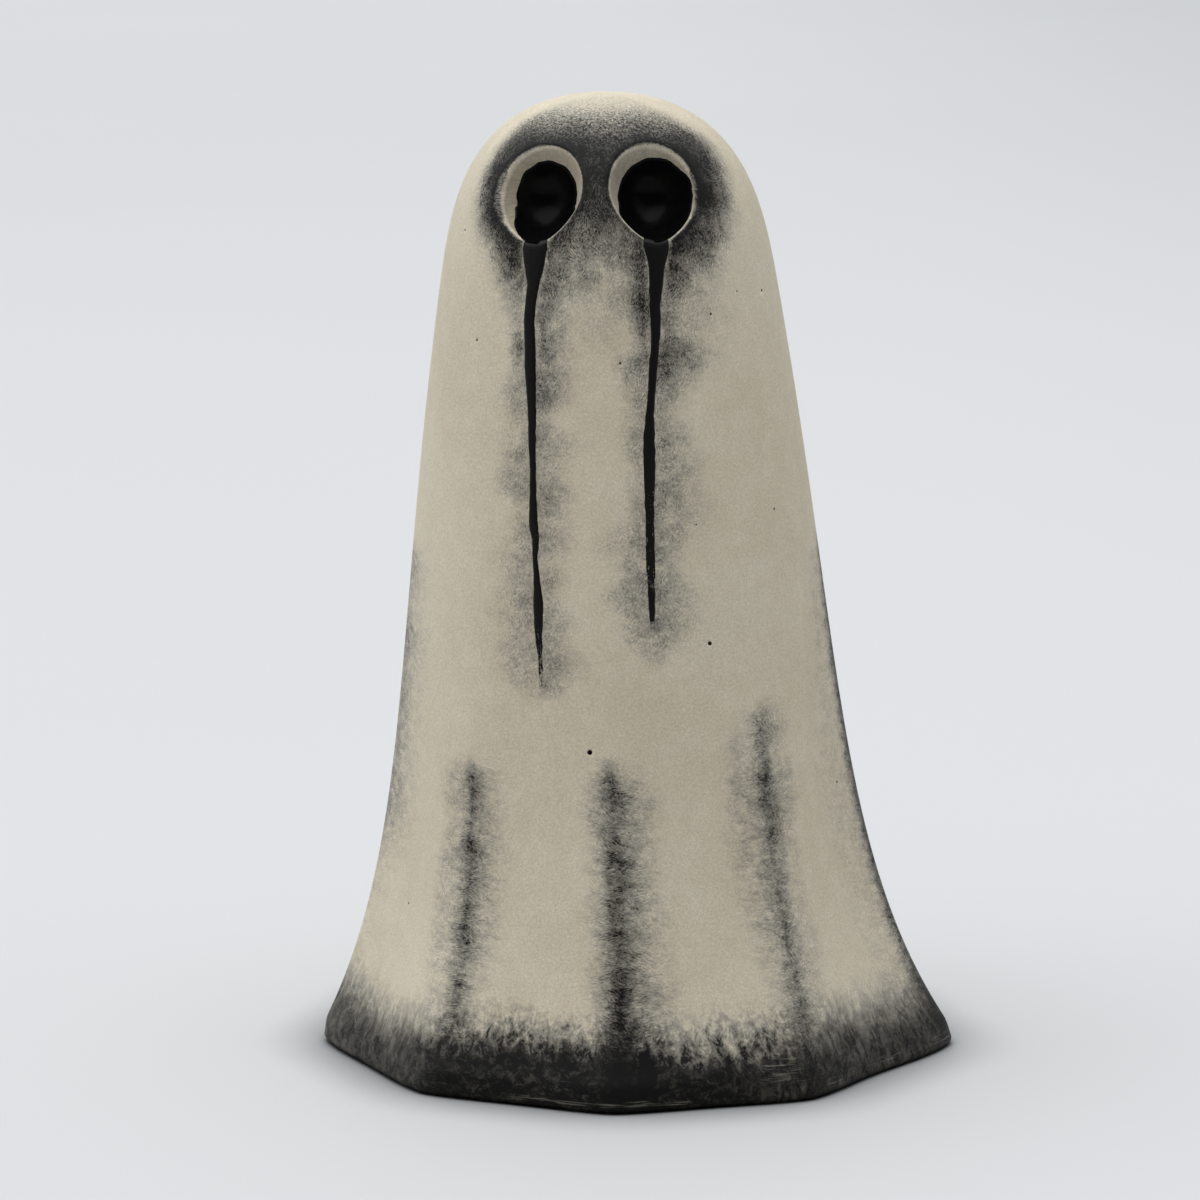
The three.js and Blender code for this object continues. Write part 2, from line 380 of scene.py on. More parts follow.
def turnOutward(piece):
    shape = bmesh.new()
    shape.from_mesh(piece.data)
    bmesh.ops.remove_doubles(shape, verts=shape.verts, dist=1e-7)
    bmesh.ops.recalc_face_normals(shape, faces=shape.faces)
    shape.to_mesh(piece.data)
    shape.free()


def bowlCutter(side):
    clock = np.radians(np.arange(bowl["clocks"]) * 360.0 / bowl["clocks"])
    centre = rimRound(side, clock, 0.0)[0]
    rings = []
    deepest = np.arccos(np.clip(-np.minimum(centre, 0) / bowl["depth"], 0, 1))
    for i in range(1, bowl["rows"] + 1):
        turn = deepest * i / bowl["rows"]
        rings.append(eggPlace(side, clock, bowl["halfWidth"] * np.sin(turn), -bowl["depth"] * np.cos(turn)))
    base = wallRadius(centre)
    for share in (0.0, 0.2, 0.4, 0.6, 0.8, 1.0):
        _, beyond, outward, angle = rimRound(side, clock, share, early=0.2)
        rings.append(eggPlace(side, clock, base, outward, beyond))
    wide, clear = 1.6, 9.0  # how far the cutter widens past the rim, and how far out it ends
    beyond = beyond + wide * np.sin(angle)
    rings.append(eggPlace(side, clock, base, outward - wide * np.cos(angle), beyond))
    rings.append(eggPlace(side, clock, base, np.full_like(clock, clear), beyond))
    origin, _, out, _ = bowlAxes(side)
    cutter = ringMesh("bowlCutter", rings, origin - bowl["depth"] * out, origin + clear * out)
    turnOutward(cutter)
    return cutter


# Shell: outer skin, foot ring and the cavity with a boss behind each bowl


def insetProfile(z, inset):
    step = 0.01
    slope = (profileRadius(z + step) - profileRadius(z - step)) / (2 * step)
    length = np.hypot(1.0, slope)
    return profileRadius(z) - inset / length, z + inset * slope / length


def bossPush(rows):
    # Draws the cavity's wall in behind each bowl, so that the wall there keeps its thickness
    share = np.ones(rows.shape[:2])
    grow, step, smoothing = bowl["bossWall"], 0.01, 3
    wide, deep = bowl["halfWidth"] + grow, bowl["depth"] + grow
    centre = np.stack([-leanAt(rows[..., 2]) - ghost["middleX"],
                       np.full(rows.shape[:2], -ghost["middleY"]), rows[..., 2]], -1)
    for side in (-1, 1):
        for amount in np.linspace(1.0, 0.3, 71):
            x, y, z = bowlFrame(side, centre + (rows - centre) * amount)
            reach = np.where(z < 0, bowl["upper"], bowl["lower"]) + grow
            level = (x / wide) ** 2 + (z / reach) ** 2 + (np.minimum(y, 0) / deep) ** 2
            share = np.where((level < 1) & (share > amount - step), amount - step, share)
    for _ in range(smoothing):
        share = (share + np.roll(share, 1, 1) + np.roll(share, -1, 1)) / 3
        share[1:-1] = (share[1:-1] + share[:-2] + share[2:]) / 3
    return centre + (rows - centre) * share[..., None]


def crownHeight(share):
    # Height over the crown's curve; share is 1 at the shoulder and 0 at the top
    shoulder = ghost["shoulderHeight"]
    rise = (1 - share ** ghost["crownRoundness"]) ** (1 / ghost["crownFullness"])
    return shoulder + (ghost["height"] - shoulder) * rise


def shellRings():
    degrees = np.arange(ghost["columns"]) * 360.0 / ghost["columns"] - 180.0
    shoulder, footRound = ghost["shoulderHeight"], ghost["footRound"]
    crown, gap, filled = ghost["crownRows"], ghost["rowGap"], ghost["filledHeight"]
    rings = []
    heights = crownHeight(np.cos(np.arange(1, crown) / crown * np.pi / 2))
    # the crown's rows lie far apart near the shoulder, so even rows fill in there
    even = np.arange(shoulder + gap, shoulder + filled, gap)
    even = even[np.abs(even[:, None] - heights).min(1) > ghost["rowClearance"]]
    for z in sorted(np.append(heights, even), reverse=True):
        rings.append(drape(degrees, profileRadius(z), z))
    for i in range(ghost["sideRows"], -1, -1):
        z = footRound + (shoulder - footRound) * (i / ghost["sideRows"]) ** ghost["rowCrowding"]
        rings.append(drape(degrees, profileRadius(z), z))
    foot = float(profileRadius(footRound))
    for i in range(5, -1, -1):
        turn = i / 6 * math.pi / 2
        inward, up = footRound * (1 - math.sin(turn)), footRound * (1 - math.cos(turn))
        rings.append(drape(degrees, foot - inward, up))
    mouth = foot - ghost["wall"]
    bevel = ghost["footBevel"]
    cutEdge = ((2.4, 0), (bevel + 0.25, 0), (bevel - 0.1, 0.08), (0.1, bevel - 0.15))
    for outward, z in cutEdge:
        rings.append(drape(degrees, mouth + outward, np.array(float(z))))
    inside = []
    for i in range(1, ghost["insideRows"] + 1):
        z = footRound + (shoulder - footRound) * (i / ghost["insideRows"]) ** ghost["insideCrowding"]
        inside.append(drape(degrees, *insetProfile(z, ghost["wall"])))
    insideCrown = ghost["insideCrownRows"]
    for i in range(1, insideCrown):
        z = crownHeight(math.cos(i / insideCrown * math.pi / 2))
        inside.append(drape(degrees, *insetProfile(z, ghost["wall"])))
    rings += list(bossPush(np.array(inside)))
    return rings


# Pinholes in the glaze, cut as real pits: Geometry Nodes put one blunt cone on each point

pinholes = {
    "radius": 0.3, "depth": 0.55, "mouth": 1.12, "floor": 0.55, "sides": 14,
    "places": [  # turn, height, size
        (-4.4, 52.8, 1.6), (28.6, 68.7, 1.3), (6.4, 111.2, 0.7), (-44.6, 113.6, 0.75),
        (38.6, 118.0, 0.75), (51.5, 121.0, 0.55), (66.5, 120.5, 0.9), (56.5, 87.6, 0.75),
        (27.0, 86.7, 0.5), (-59.8, 129.7, 0.7), (74.5, 43.5, 0.8), (-59.0, 25.5, 0.6),
        (-118.0, 96.0, 0.8), (-142.0, 41.0, 1.1), (158.0, 74.0, 0.7), (121.0, 58.0, 0.6),
        (172.0, 121.0, 0.9), (-163.0, 66.0, 0.5), (104.0, 103.0, 0.7),
    ],
}


class GeometryBoard(Board):
    def __init__(self, name, inputs):
        tree = bpy.data.node_groups.new(name, "GeometryNodeTree")
        super().__init__(tree)
        tree.interface.new_socket("Geometry", in_out="INPUT", socket_type="NodeSocketGeometry")
        for label, kind in inputs.items():
            tree.interface.new_socket(label, in_out="INPUT", socket_type=kind)
        tree.interface.new_socket("Geometry", in_out="OUTPUT", socket_type="NodeSocketGeometry")
        self.start = tree.nodes.new("NodeGroupInput")
        self.end = tree.nodes.new("NodeGroupOutput")

    def given(self, label):
        return Wire(self.tree, self.start.outputs[label])

    def named(self, name, kind="FLOAT"):
        return self.add("GeometryNodeInputNamedAttribute", {"data_type": kind}, {"Name": name}, "Attribute")

    def close(self, geometry):
        realized = self.add("GeometryNodeRealizeInstances", {}, {"Geometry": geometry})
        painted = self.add("GeometryNodeSetMaterial", {}, {
            "Geometry": realized, "Material": self.given("Material")})
        plug(self.tree, self.end.inputs[0], painted)


def runTree(piece, board, values):
    # Runs a tree on a piece and keeps the plain mesh that comes out
    modifier = piece.modifiers.new("tree", "NODES")
    modifier.node_group = board.tree
    for item in board.tree.interface.items_tree:
        if item.in_out == "INPUT" and item.name in values:
            modifier[item.identifier] = values[item.name]
    settle(piece)


def settle(piece):
    bpy.context.view_layer.update()
    evaluated = piece.evaluated_get(bpy.context.evaluated_depsgraph_get())
    made = bpy.data.meshes.new_from_object(evaluated)
    piece.modifiers.clear()
    old, piece.data = piece.data, made
    made.name = piece.name
    bpy.data.meshes.remove(old)


def pinholeTree():
    board = GeometryBoard("pinholePits", {
        "Pit radius": "NodeSocketFloat", "Pit depth": "NodeSocketFloat", "Material": "NodeSocketMaterial"})
    points = board.add("GeometryNodeMeshToPoints", {}, {"Mesh": board.given("Geometry")})
    pit = board.add("GeometryNodeMeshCone", {}, {
        "Vertices": pinholes["sides"], "Side Segments": 2,
        "Radius Top": board.given("Pit radius") * pinholes["mouth"],
        "Radius Bottom": board.given("Pit radius") * pinholes["floor"],
        "Depth": board.given("Pit depth") * 2.0}, "Mesh")
    sunk = board.add("GeometryNodeTransform", {}, {
        "Geometry": pit, "Translation": board.vector(0.0, 0.0, board.given("Pit depth") * -1.0)})
    turn = board.add("FunctionNodeAlignRotationToVector", {"axis": "Z"}, {
        "Vector": board.named("outward", "FLOAT_VECTOR")})
    placed = board.add("GeometryNodeInstanceOnPoints", {}, {
        "Points": points, "Instance": sunk, "Rotation": turn, "Scale": board.named("size")})
    board.close(placed)
    return board


def pinholePits(material):
    places = np.array(pinholes["places"])
    points = skinAt(places[:, 0], places[:, 1])
    outward = skinAt(places[:, 0], places[:, 1], np.ones(len(places))) - points
    piece = newPiece("pinholePits", (points * mm).tolist(), [])
    facing = piece.data.attributes.new("outward", "FLOAT_VECTOR", "POINT")
    facing.data.foreach_set("vector", outward.astype(np.float32).ravel())
    setFloats(piece.data, "size", places[:, 2])
    runTree(piece, pinholeTree(), {
        "Pit radius": pinholes["radius"] * mm, "Pit depth": pinholes["depth"] * mm, "Material": material})
    return piece


# Dry-brushed black, as densities over the skin; the shader turns them into bristle marks

# Enamel tears: height, left edge and right edge in degrees
tears = {
    "left": [
        (130.2, -27.6, -17.2), (129.0, -27.1, -18.6), (127.5, -26.7, -19.4), (125.6, -26.4, -19.1),
        (124.0, -25.8, -19.8), (122.6, -24.9, -20.6), (120.5, -25.3, -21.3), (117.5, -25.6, -21.8),
        (114.0, -24.9, -21.1), (110.0, -24.5, -20.7), (107.0, -23.6, -20.4), (103.5, -22.8, -20.1),
        (99.0, -22.3, -20.0), (94.5, -21.5, -19.7), (90.5, -21.5, -19.4), (87.0, -21.6, -18.8),
        (84.5, -20.6, -18.4), (81.5, -20.2, -18.8), (78.0, -19.8, -17.9), (75.0, -19.9, -17.0),
        (72.0, -19.6, -17.1), (69.5, -19.2, -17.3), (67.0, -18.5, -17.1), (64.0, -18.1, -16.9),
        (60.0, -17.9, -17.2),
    ],
    "right": [
        (130.2, 16.9, 27.8), (129.2, 17.2, 25.2), (127.5, 17.5, 23.6), (125.5, 17.4, 22.8),
        (123.0, 17.1, 21.9), (120.0, 16.8, 20.4), (117.0, 16.8, 20.1), (114.0, 16.6, 19.2),
        (111.5, 15.7, 18.4), (109.0, 15.1, 17.6), (106.0, 14.5, 16.7), (103.5, 13.7, 16.2),
        (100.0, 12.6, 16.0), (96.0, 12.3, 15.8), (93.5, 12.3, 15.4), (90.5, 12.2, 14.9),
        (87.0, 12.2, 14.6), (83.5, 11.9, 14.4), (80.0, 11.8, 14.3), (77.5, 12.0, 13.9),
        (75.0, 12.0, 13.8), (73.2, 12.1, 13.6), (71.0, 12.5, 13.5), (69.0, 12.8, 13.4),
    ],
}

# Brushed haloes beside the tears: height, outer edge in degrees, strength
haloes = {
    "leftOuter": [
        (131, -38, 0.0), (129, -40, 0.85), (126, -39, 1), (122.5, -35, 0.78), (119, -32, 0.4),
        (116, -29.5, 0.5), (113.5, -30.5, 0.85), (110.5, -29, 0.49), (107.5, -31, 0.45),
        (104.5, -33, 0.37), (101, -29, 0.32), (98.5, -31.5, 0.45), (95.5, -30, 0.39),
        (92, -31.5, 0.59), (89, -27, 0.26), (86, -26.5, 0.33), (81.5, -31, 0.43),
        (78.5, -27, 0.33), (76.5, -29, 0.43), (73, -31.5, 0.47), (70, -27.5, 0.31),
        (67, -30, 0.37), (64, -28.5, 0.33), (61.5, -23.5, 0.31), (59.5, -20, 0.0),
    ],
    "leftInner": [
        (131, -9, 0.0), (129, -8.5, 0.82), (125.5, -8, 0.75), (121.5, -11, 0.58),
        (118, -12.5, 0.69), (115.5, -12, 0.62), (112.5, -11.5, 0.69), (109, -10.5, 0.85),
        (105.5, -12, 0.75), (102.5, -14.5, 0.33), (99, -7.5, 0.55), (96, -12.5, 0.36),
        (92, -10.5, 0.65), (88.5, -11.5, 0.46), (84, -10.5, 0.53), (80.5, -13, 0.36),
        (77.5, -11, 0.46), (75, -12.5, 0.32), (72, -8.5, 0.46), (69.5, -11, 0.36),
        (66.5, -7.5, 0.47), (64, -8.5, 0.46), (62, -11, 0.55), (60, -14, 0.0),
    ],
    "rightInner": [
        (131, 9, 0.0), (129, 8, 0.85), (125, 9.5, 0.71), (120.5, 8.5, 1), (117.5, 9, 0.99), (114, 11.5, 0.59),
        (110.5, 6, 0.71), (107, 8.5, 0.5), (103, 8, 0.45), (99, 7, 0.5), (95.5, 9, 0.38), (91.5, 8, 0.43),
        (88, 6.5, 0.45), (85, 2, 0.45), (82.5, 1, 0.45), (79.5, 6, 0.45), (76, 1, 0.41), (73, 5.5, 0.45),
        (70, 5, 0.45), (67.5, 9, 0.41), (65, 12, 0.0),
    ],
    "rightOuter": [
        (131, 42, 0.0), (129, 43, 1), (126, 37, 0.93), (122.5, 31, 0.75), (119.5, 25.5, 0.63),
        (116, 27.5, 0.68), (112.5, 34, 1), (109.5, 30, 0.87), (106.5, 26, 0.63),
        (103.5, 23.5, 0.31), (100, 27, 0.54), (96.5, 28, 0.52), (93, 26, 0.57), (89.5, 27.5, 0.5),
        (86, 26.5, 0.52), (83.5, 22, 0.52), (80.5, 19.5, 0.42), (77, 24, 0.48), (73.5, 23.5, 0.52),
        (70.5, 22, 0.52), (68, 18.5, 0.47), (65, 14.5, 0.0),
    ],
}

# Black brushed round each rim: clock, strength, width in millimetres
rims = {
    "left": [
        (0, 0.95, 1.5), (30, 0.9, 1.4), (60, 0.8, 1.5), (90, 0.6, 2.2), (120, 0.55, 2.2),
        (150, 0.55, 1.8), (168, 0.3, 1.0), (180, 0.0, 1.0), (192, 0.3, 1.0), (208, 0.7, 2.0),
        (235, 0.85, 2.4), (255, 0.85, 2.8), (270, 0.95, 3.2), (290, 0.9, 3.0), (320, 0.95, 2.1),
        (345, 0.95, 1.7),
    ],
    "right": [
        (0, 0.95, 1.5), (30, 0.92, 1.8), (60, 0.85, 2.2), (90, 0.85, 2.4), (110, 0.75, 2.2),
        (130, 0.95, 2.0), (150, 0.9, 1.8), (168, 0.5, 1.2), (180, 0.0, 1.0), (195, 0.25, 1.0),
        (215, 0.4, 1.6), (250, 0.55, 1.9), (270, 0.7, 1.6), (300, 0.85, 1.6), (330, 0.92, 1.5),
    ],
}

# Brushing over the face: height, left edge and right edge in degrees, strength in the middle
face = [
    (150, -30, 34, 0.0), (149.5, -36, 38, 0.07), (148.5, -46, 45, 0.23), (147, -52, 50, 0.58),
    (145.5, -55, 55, 0.8), (144, -55, 61, 0.92), (142.5, -56, 63, 0.95), (139, -57, 61, 0.95),
    (137, -56, 59, 0.94), (135, -54, 58, 0.93), (133, -53, 56, 0.86), (131, -50.5, 54, 0.76),
    (129, -47, 50, 0.6), (127, -43, 46, 0.46), (125, -39, 42, 0.38), (123, -36, 38, 0.32),
    (121, -34, 35, 0.23), (118, -32, 33, 0.13), (115, -31, 30, 0.07), (112, -30, 28, 0.03),
    (109, -28, 26, 0.0),
]

# Thicker patches of it: turn, height, half width, half height, strength
clouds = [
    (-40, 130, 8, 4, 0.2), (38, 129.5, 9, 4.5, 0.34), (42, 126, 7, 4, 0.14), (33, 118, 14, 9, 0.1),
    (-12, 126, 6, 5, 0.08), (12, 124, 6, 7, 0.06), (-2, 137.5, 6, 6, 0.3), (-50, 141, 6, 5, 0.3),
    (45, 137, 6, 6, 0.35), (-15, 145, 10, 2.5, 0.3), (22, 145.4, 10, 2.6, 0.35),
    (-38, 143, 8, 3, 0.35), (41, 142.5, 8, 3, 0.4),
]

# Strokes down the ridges: height, middle, core half width, core strength, haze from, haze to, haze strength
strokes = {
    "leftFront": [
        (51.2, -37, 1.5, 0.0, -40, -30.5, 0.0), (49, -37, 2, 0.39, -47, -27.5, 0.2),
        (46.5, -36.6, 2.4, 0.62, -49, -26.5, 0.31), (43, -36, 2, 0.55, -49, -27, 0.31),
        (40, -36.3, 1.8, 0.47, -45, -26.5, 0.25), (36.5, -36, 2.6, 0.69, -48, -25.5, 0.36),
        (32, -35.2, 2, 0.55, -49, -25.5, 0.29), (28, -35.2, 2, 0.53, -47, -26, 0.27),
        (24, -34.8, 2.4, 0.69, -47, -26, 0.32), (20, -34.6, 1.8, 0.48, -46, -26.5, 0.23),
        (15, -34.6, 1.9, 0.61, -45, -27.5, 0.22), (11, -34.6, 2, 0.55, -43, -27.5, 0.2),
        (7, -34.6, 2, 0.47, -40, -27.5, 0.18),
    ],
    "middle": [
        (52.3, 0, 1.5, 0.0, -3, 7, 0.0), (50, 0, 2, 0.38, -7, 9, 0.21),
        (46, 1.3, 3, 0.59, -8, 13, 0.34), (43, 1, 2.5, 0.47, -8, 13, 0.3),
        (40, 0.8, 2.2, 0.59, -6.5, 12, 0.32), (36.5, 1.6, 2.6, 0.62, -6.5, 11.5, 0.34),
        (33, 2.5, 2.8, 0.59, -6.5, 12, 0.34), (30, 1, 2.5, 0.53, -6.5, 13, 0.34),
        (26, 1.6, 2.6, 0.59, -7, 13, 0.34), (22, 1.5, 2.6, 0.62, -7, 13, 0.34),
        (18, 1.9, 3, 0.85, -6.5, 14.5, 0.36), (14, 1.6, 3, 0.88, -5.5, 16, 0.36),
        (10, 1.5, 3.2, 0.85, -5, 16, 0.36), (6, 1.5, 3.5, 0.88, -4, 14, 0.38),
    ],
    "rightFront": [
        (59.5, 43, 2, 0.0, 40, 51, 0.0), (57, 42.5, 3, 0.31, 36, 53, 0.19),
        (54, 41, 3, 0.44, 30, 53, 0.27), (50.5, 41, 2.8, 0.38, 29, 51, 0.19),
        (47.5, 40.5, 3.6, 0.68, 28.5, 56, 0.3), (44, 40.5, 3.8, 0.61, 28, 55, 0.3),
        (41, 41.5, 4, 0.61, 28, 53, 0.28), (36, 40, 3.2, 0.43, 28, 51, 0.25),
        (30, 39.5, 3.2, 0.41, 29, 51, 0.23), (25, 40, 3, 0.46, 30, 52, 0.26),
        (20, 40.3, 3, 0.41, 32, 53, 0.21), (16, 40, 3, 0.46, 33, 52, 0.21),
        (13, 39.3, 2.6, 0.59, 34, 51, 0.21), (8, 39, 2.6, 0.44, 34, 51, 0.19),
    ],
    "rightSide": [
        (83, 87, 2.0, 0.0, 84, 90, 0.0), (79, 86.5, 3.8, 0.5, 74, 94, 0.14),
        (72, 86.2, 4.0, 0.76, 70, 95, 0.16), (62, 86, 4.2, 0.86, 66, 95, 0.14),
        (50, 86, 4.2, 0.86, 64, 95, 0.13), (40, 86, 4.2, 0.84, 64, 95, 0.13),
        (30, 86, 4.0, 0.84, 66, 95, 0.13), (20, 86, 3.8, 0.8, 68, 96, 0.12),
        (9, 85.5, 3.8, 0.78, 68, 97, 0.12),
    ],
    "leftSide": [
        (81, -80, 3.0, 0.0, -92, -68, 0.0), (77, -80.5, 8.0, 0.26, -98, -62, 0.2),
        (71, -83, 8.0, 0.12, -98, -64, 0.12), (66, -82, 8.5, 0.34, -100, -60, 0.22),
        (60, -83, 8.5, 0.24, -100, -62, 0.18), (54, -83, 8.5, 0.3, -100, -62, 0.19),
        (46, -83, 8.5, 0.24, -100, -62, 0.17), (38, -82, 8.5, 0.3, -99, -62, 0.2),
        (33, -82, 7.0, 0.12, -98, -64, 0.1), (27, -83, 6.0, 0.05, -96, -70, 0.04),
        (10, -83, 6.0, 0.04, -95, -72, 0.03),
    ],
}

# The same strokes on the back ridges: which one, turned by, stretched in height
backStrokes = [("rightFront", 90.5, 0.92), ("middle", 179.0, 1.12), ("leftFront", -94.5, 1.04)]

# Hem band: turn, height where it is half black, height over which it fades, strength
hem = [
    (-95, 10.8, 11, 0.92), (-86, 11.2, 11, 0.9), (-78, 10.9, 11, 0.9), (-71, 10.4, 10.5, 0.92),
    (-66, 9.8, 10, 0.94), (-60, 9.3, 9.5, 0.94), (-55, 8.7, 9.5, 0.94), (-50, 9.4, 9.5, 0.94),
    (-45, 10.1, 10, 0.95), (-40, 9.6, 9.5, 0.97), (-35, 10.0, 9, 0.99), (-30, 10.6, 10, 1.0),
    (-25, 11.2, 10, 1.0), (-19, 11.5, 9, 1.0), (-13, 10.7, 8.5, 1.0), (-9, 11.3, 8, 1.0),
    (-4, 10.8, 8.5, 1.0), (2, 11.2, 9, 1.0), (6, 11.0, 9, 1.0), (10, 10.4, 9.5, 1.0),
    (14, 9.2, 10, 1.0), (17, 9.6, 10, 1.0), (21.5, 10.6, 10.5, 1.0), (25, 10.0, 11, 0.99),
    (30, 10.5, 11, 0.99), (36, 10.5, 11, 0.97), (42, 10.0, 11, 0.96), (48, 10.8, 10.5, 0.95),
    (53, 10.9, 10, 0.95), (60, 9.7, 11.5, 0.95), (66, 10.2, 11.5, 0.95), (72, 9.8, 11, 0.95),
    (78, 9.9, 11, 0.94), (86, 10.6, 11, 0.95), (95, 10.4, 11, 0.96), (120, 9.6, 10, 0.97),
    (133, 11.0, 11, 0.98), (150, 9.7, 10, 0.97), (165, 10.4, 9.5, 0.98), (181, 11.0, 9, 1.0),
    (196, 10.0, 9.5, 0.98), (214, 9.7, 10, 0.96), (230, 11.1, 11, 0.98), (245, 9.8, 10, 0.95),
    (265, 10.8, 11, 0.92),
]

# Single dabs in the hem: turn, height, half width, half height, strength
dabs = [
    (-24.5, 8.4, 2.2, 2.0, 0.6), (-27.6, 8.5, 1.6, 1.8, 0.5), (-19.4, 11, 1.2, 1.7, 0.4),
    (-15.5, 9.6, 1.3, 1.8, 0.4), (-9.3, 12.2, 0.8, 1.4, 0.4), (21.5, 10.4, 1.1, 1.8, 0.7),
    (22.1, 11.8, 0.6, 1.2, 0.5), (10.8, 12.2, 0.6, 1.7, 0.5), (28.8, 8.4, 1.3, 1.6, 0.65),
    (47.6, 9.4, 2.2, 1.5, 0.5), (34.5, 9.4, 1.2, 1.4, 0.4),
]

# One drip of solid black in the hem: turn and half width in degrees, heights in millimetres
drip = {
    "turn": 6.3, "halfWidth": 2.0, "top": 9.9, "shoulder": 1.4, "topFade": 1.4, "core": 0.5,
    "sideFade": 0.8, "sway": 0.25, "swayRate": 1.3,
}

# Rubbed places in the hem where pale lines show: turn from, to, height from, to, strength
rubs = [
    (-52, -36, 2.2, 4.2, 0.42), (-24, 16, 0.9, 2.2, 0.75), (27, 37.5, 3.2, 8.0, 0.5),
    (40, 92, 1.2, 3.0, 0.42), (-80, -40, 0.8, 1.8, 0.35), (100, 260, 0.9, 2.2, 0.5),
]


# How the densities fall off: angles in degrees, lengths in millimetres, the rest are shares
brush = {
    "halo": 0.84, "haloCore": 0.1, "haloFade": 1.5, "narrowestHalo": 2.0,
    "rimLine": 0.5, "rimLineAway": 0.9, "rimLineWidth": 0.8,
    "faceCore": 10.0, "faceFade": 20.0, "cloudCore": 0.35, "cloudFade": 0.85,
    "margin": 0.4, "marginAway": 0.5, "marginWidth": 0.75,
    "marginFrom": 108.0, "marginTo": 131.0, "marginFade": 8.0,
    # haze of a stroke: strength, share of its width where it starts to fade, share over which it fades
    "rightHaze": (1.6, 0.0, 1.24), "leftHaze": (0.75, 0.55, 0.55), "middleHaze": (1.4, 0.0, 1.12),
    "hemEdge": 0.97, "hemEdgeHeight": 1.6, "hemEdgeFade": 0.9, "dabCore": 0.3, "dabFade": 0.8,
    "seam": -95.0,  # the hem and its rubbed places are listed from this turn on, all the way round
}


def joined(*densities):
    clear = 1.0
    for density in densities:
        clear = clear * (1.0 - np.clip(density, 0, 1))
    return 1.0 - clear


def fading(away, core, fade):
    return 1.0 - softStep((away - core) / fade)


def haloDensity(degrees, z, points):
    total = np.zeros_like(z)
    for tear, outer, inner in (("left", "leftOuter", "leftInner"), ("right", "rightOuter", "rightInner")):
        low, high = rowsAt(tears[tear], z)
        middle = (low + high) / 2
        for name in (outer, inner):
            edge, strength = rowsAt(haloes[name], z)
            onSide = (degrees - middle) * np.sign(edge - middle)
            half = (high - low) / 2
            share = (onSide - half) / np.maximum(np.abs(edge - middle) - half, brush["narrowestHalo"])
            soft = fading(share, brush["haloCore"], brush["haloFade"])
            total = joined(total, np.where(onSide > 0, brush["halo"] * strength * soft, 0.0))
    for side, name in ((-1, "left"), (1, "right")):
        x, y, d = bowlFrame(side, points)
        reach = np.where(d < 0, bowl["upper"], bowl["lower"])
        share = np.clip(d / reach, 0, 1)
        x = x / (1.0 - bowl["pinch"] * share ** 2)
        ratio = np.hypot(x / bowl["halfWidth"], d / reach)
        away = np.maximum(0.0, ratio - 1.0) * (bowl["halfWidth"] + reach) / 2
        clock = np.degrees(np.arctan2(x, -d * bowl["halfWidth"] / reach)) % 360
        rows = rims[name] + [(360,) + rims[name][0][1:]]
        strength, width = rowsAt(rows, clock)
        near = (y > -6) & (ratio > 0.85)
        total = joined(total, np.where(near, strength * np.exp(-(away / width) ** 2), 0.0))
        line = np.exp(-((away - brush["rimLineAway"]) / brush["rimLineWidth"]) ** 2)
        total = joined(total, np.where(near, brush["rimLine"] * strength * line, 0.0))
    left, right, strength = rowsAt(face, z)
    beyond = np.where(degrees < 0, left - degrees, degrees - right)
    total = joined(total, strength * fading(beyond, -brush["faceCore"], brush["faceFade"]))
    for turn, height, wide, tall, strength in clouds:
        away = np.hypot((degrees - turn) / wide, (z - height) / tall)
        total = joined(total, strength * fading(away, brush["cloudCore"], brush["cloudFade"]))
    for tear in ("left", "right"):
        # a thin clean margin stays along the upper part of each tear
        low, high = rowsAt(tears[tear], z)
        outside = np.maximum(low - degrees, degrees - high)
        clean = np.exp(-((outside - brush["marginAway"]) / brush["marginWidth"]) ** 2)
        clean = clean * softStep((z - brush["marginFrom"]) / brush["marginFade"])
        total = total * (1.0 - brush["margin"] * clean * np.where(z < brush["marginTo"], 1.0, 0.0))
    return total


def strokeDensity(degrees, z):
    total = np.zeros_like(z)
    runs = [(rows, 0.0, 1.0) for rows in strokes.values()]
    runs += [(strokes[name], turn, stretch) for name, turn, stretch in backStrokes]
    for rows, turn, stretch in runs:
        middle, wide, core, hazeFrom, hazeTo, haze = rowsAt(rows, z / stretch)
        local = (degrees - turn - middle + 180.0) % 360.0 - 180.0
        top = max(row[0] for row in rows)
        shown = np.where(z / stretch < top, 1.0, 0.0)
        total = joined(total, shown * core * np.exp(-(local / wide) ** 2))
        edge = np.where(local < 0, hazeFrom - middle, hazeTo - middle)
        share = local / edge
        hazes = []
        for name in ("middleHaze" if rows is strokes["middle"] else "leftHaze", "rightHaze"):
            amount, start, fade = brush[name]
            hazes.append(amount * fading(share, start, fade))
        total = joined(total, shown * haze * np.where(local < 0, *hazes))
    return total


def hemDensity(degrees, z):
    turn = np.where(degrees < brush["seam"], degrees + 360.0, degrees)
    half, span, strength = rowsAt(hem, turn)
    total = strength * (1.0 - softStep((z - half) / span + 0.5))
    edge = softStep((brush["hemEdgeHeight"] - z) / brush["hemEdgeFade"])
    total = np.maximum(total, brush["hemEdge"] * edge)
    for centre, height, wide, tall, amount in dabs:
        away = np.hypot((degrees - centre) / wide, (z - height) / tall)
        total = joined(total, amount * fading(away, brush["dabCore"], brush["dabFade"]))
    return total


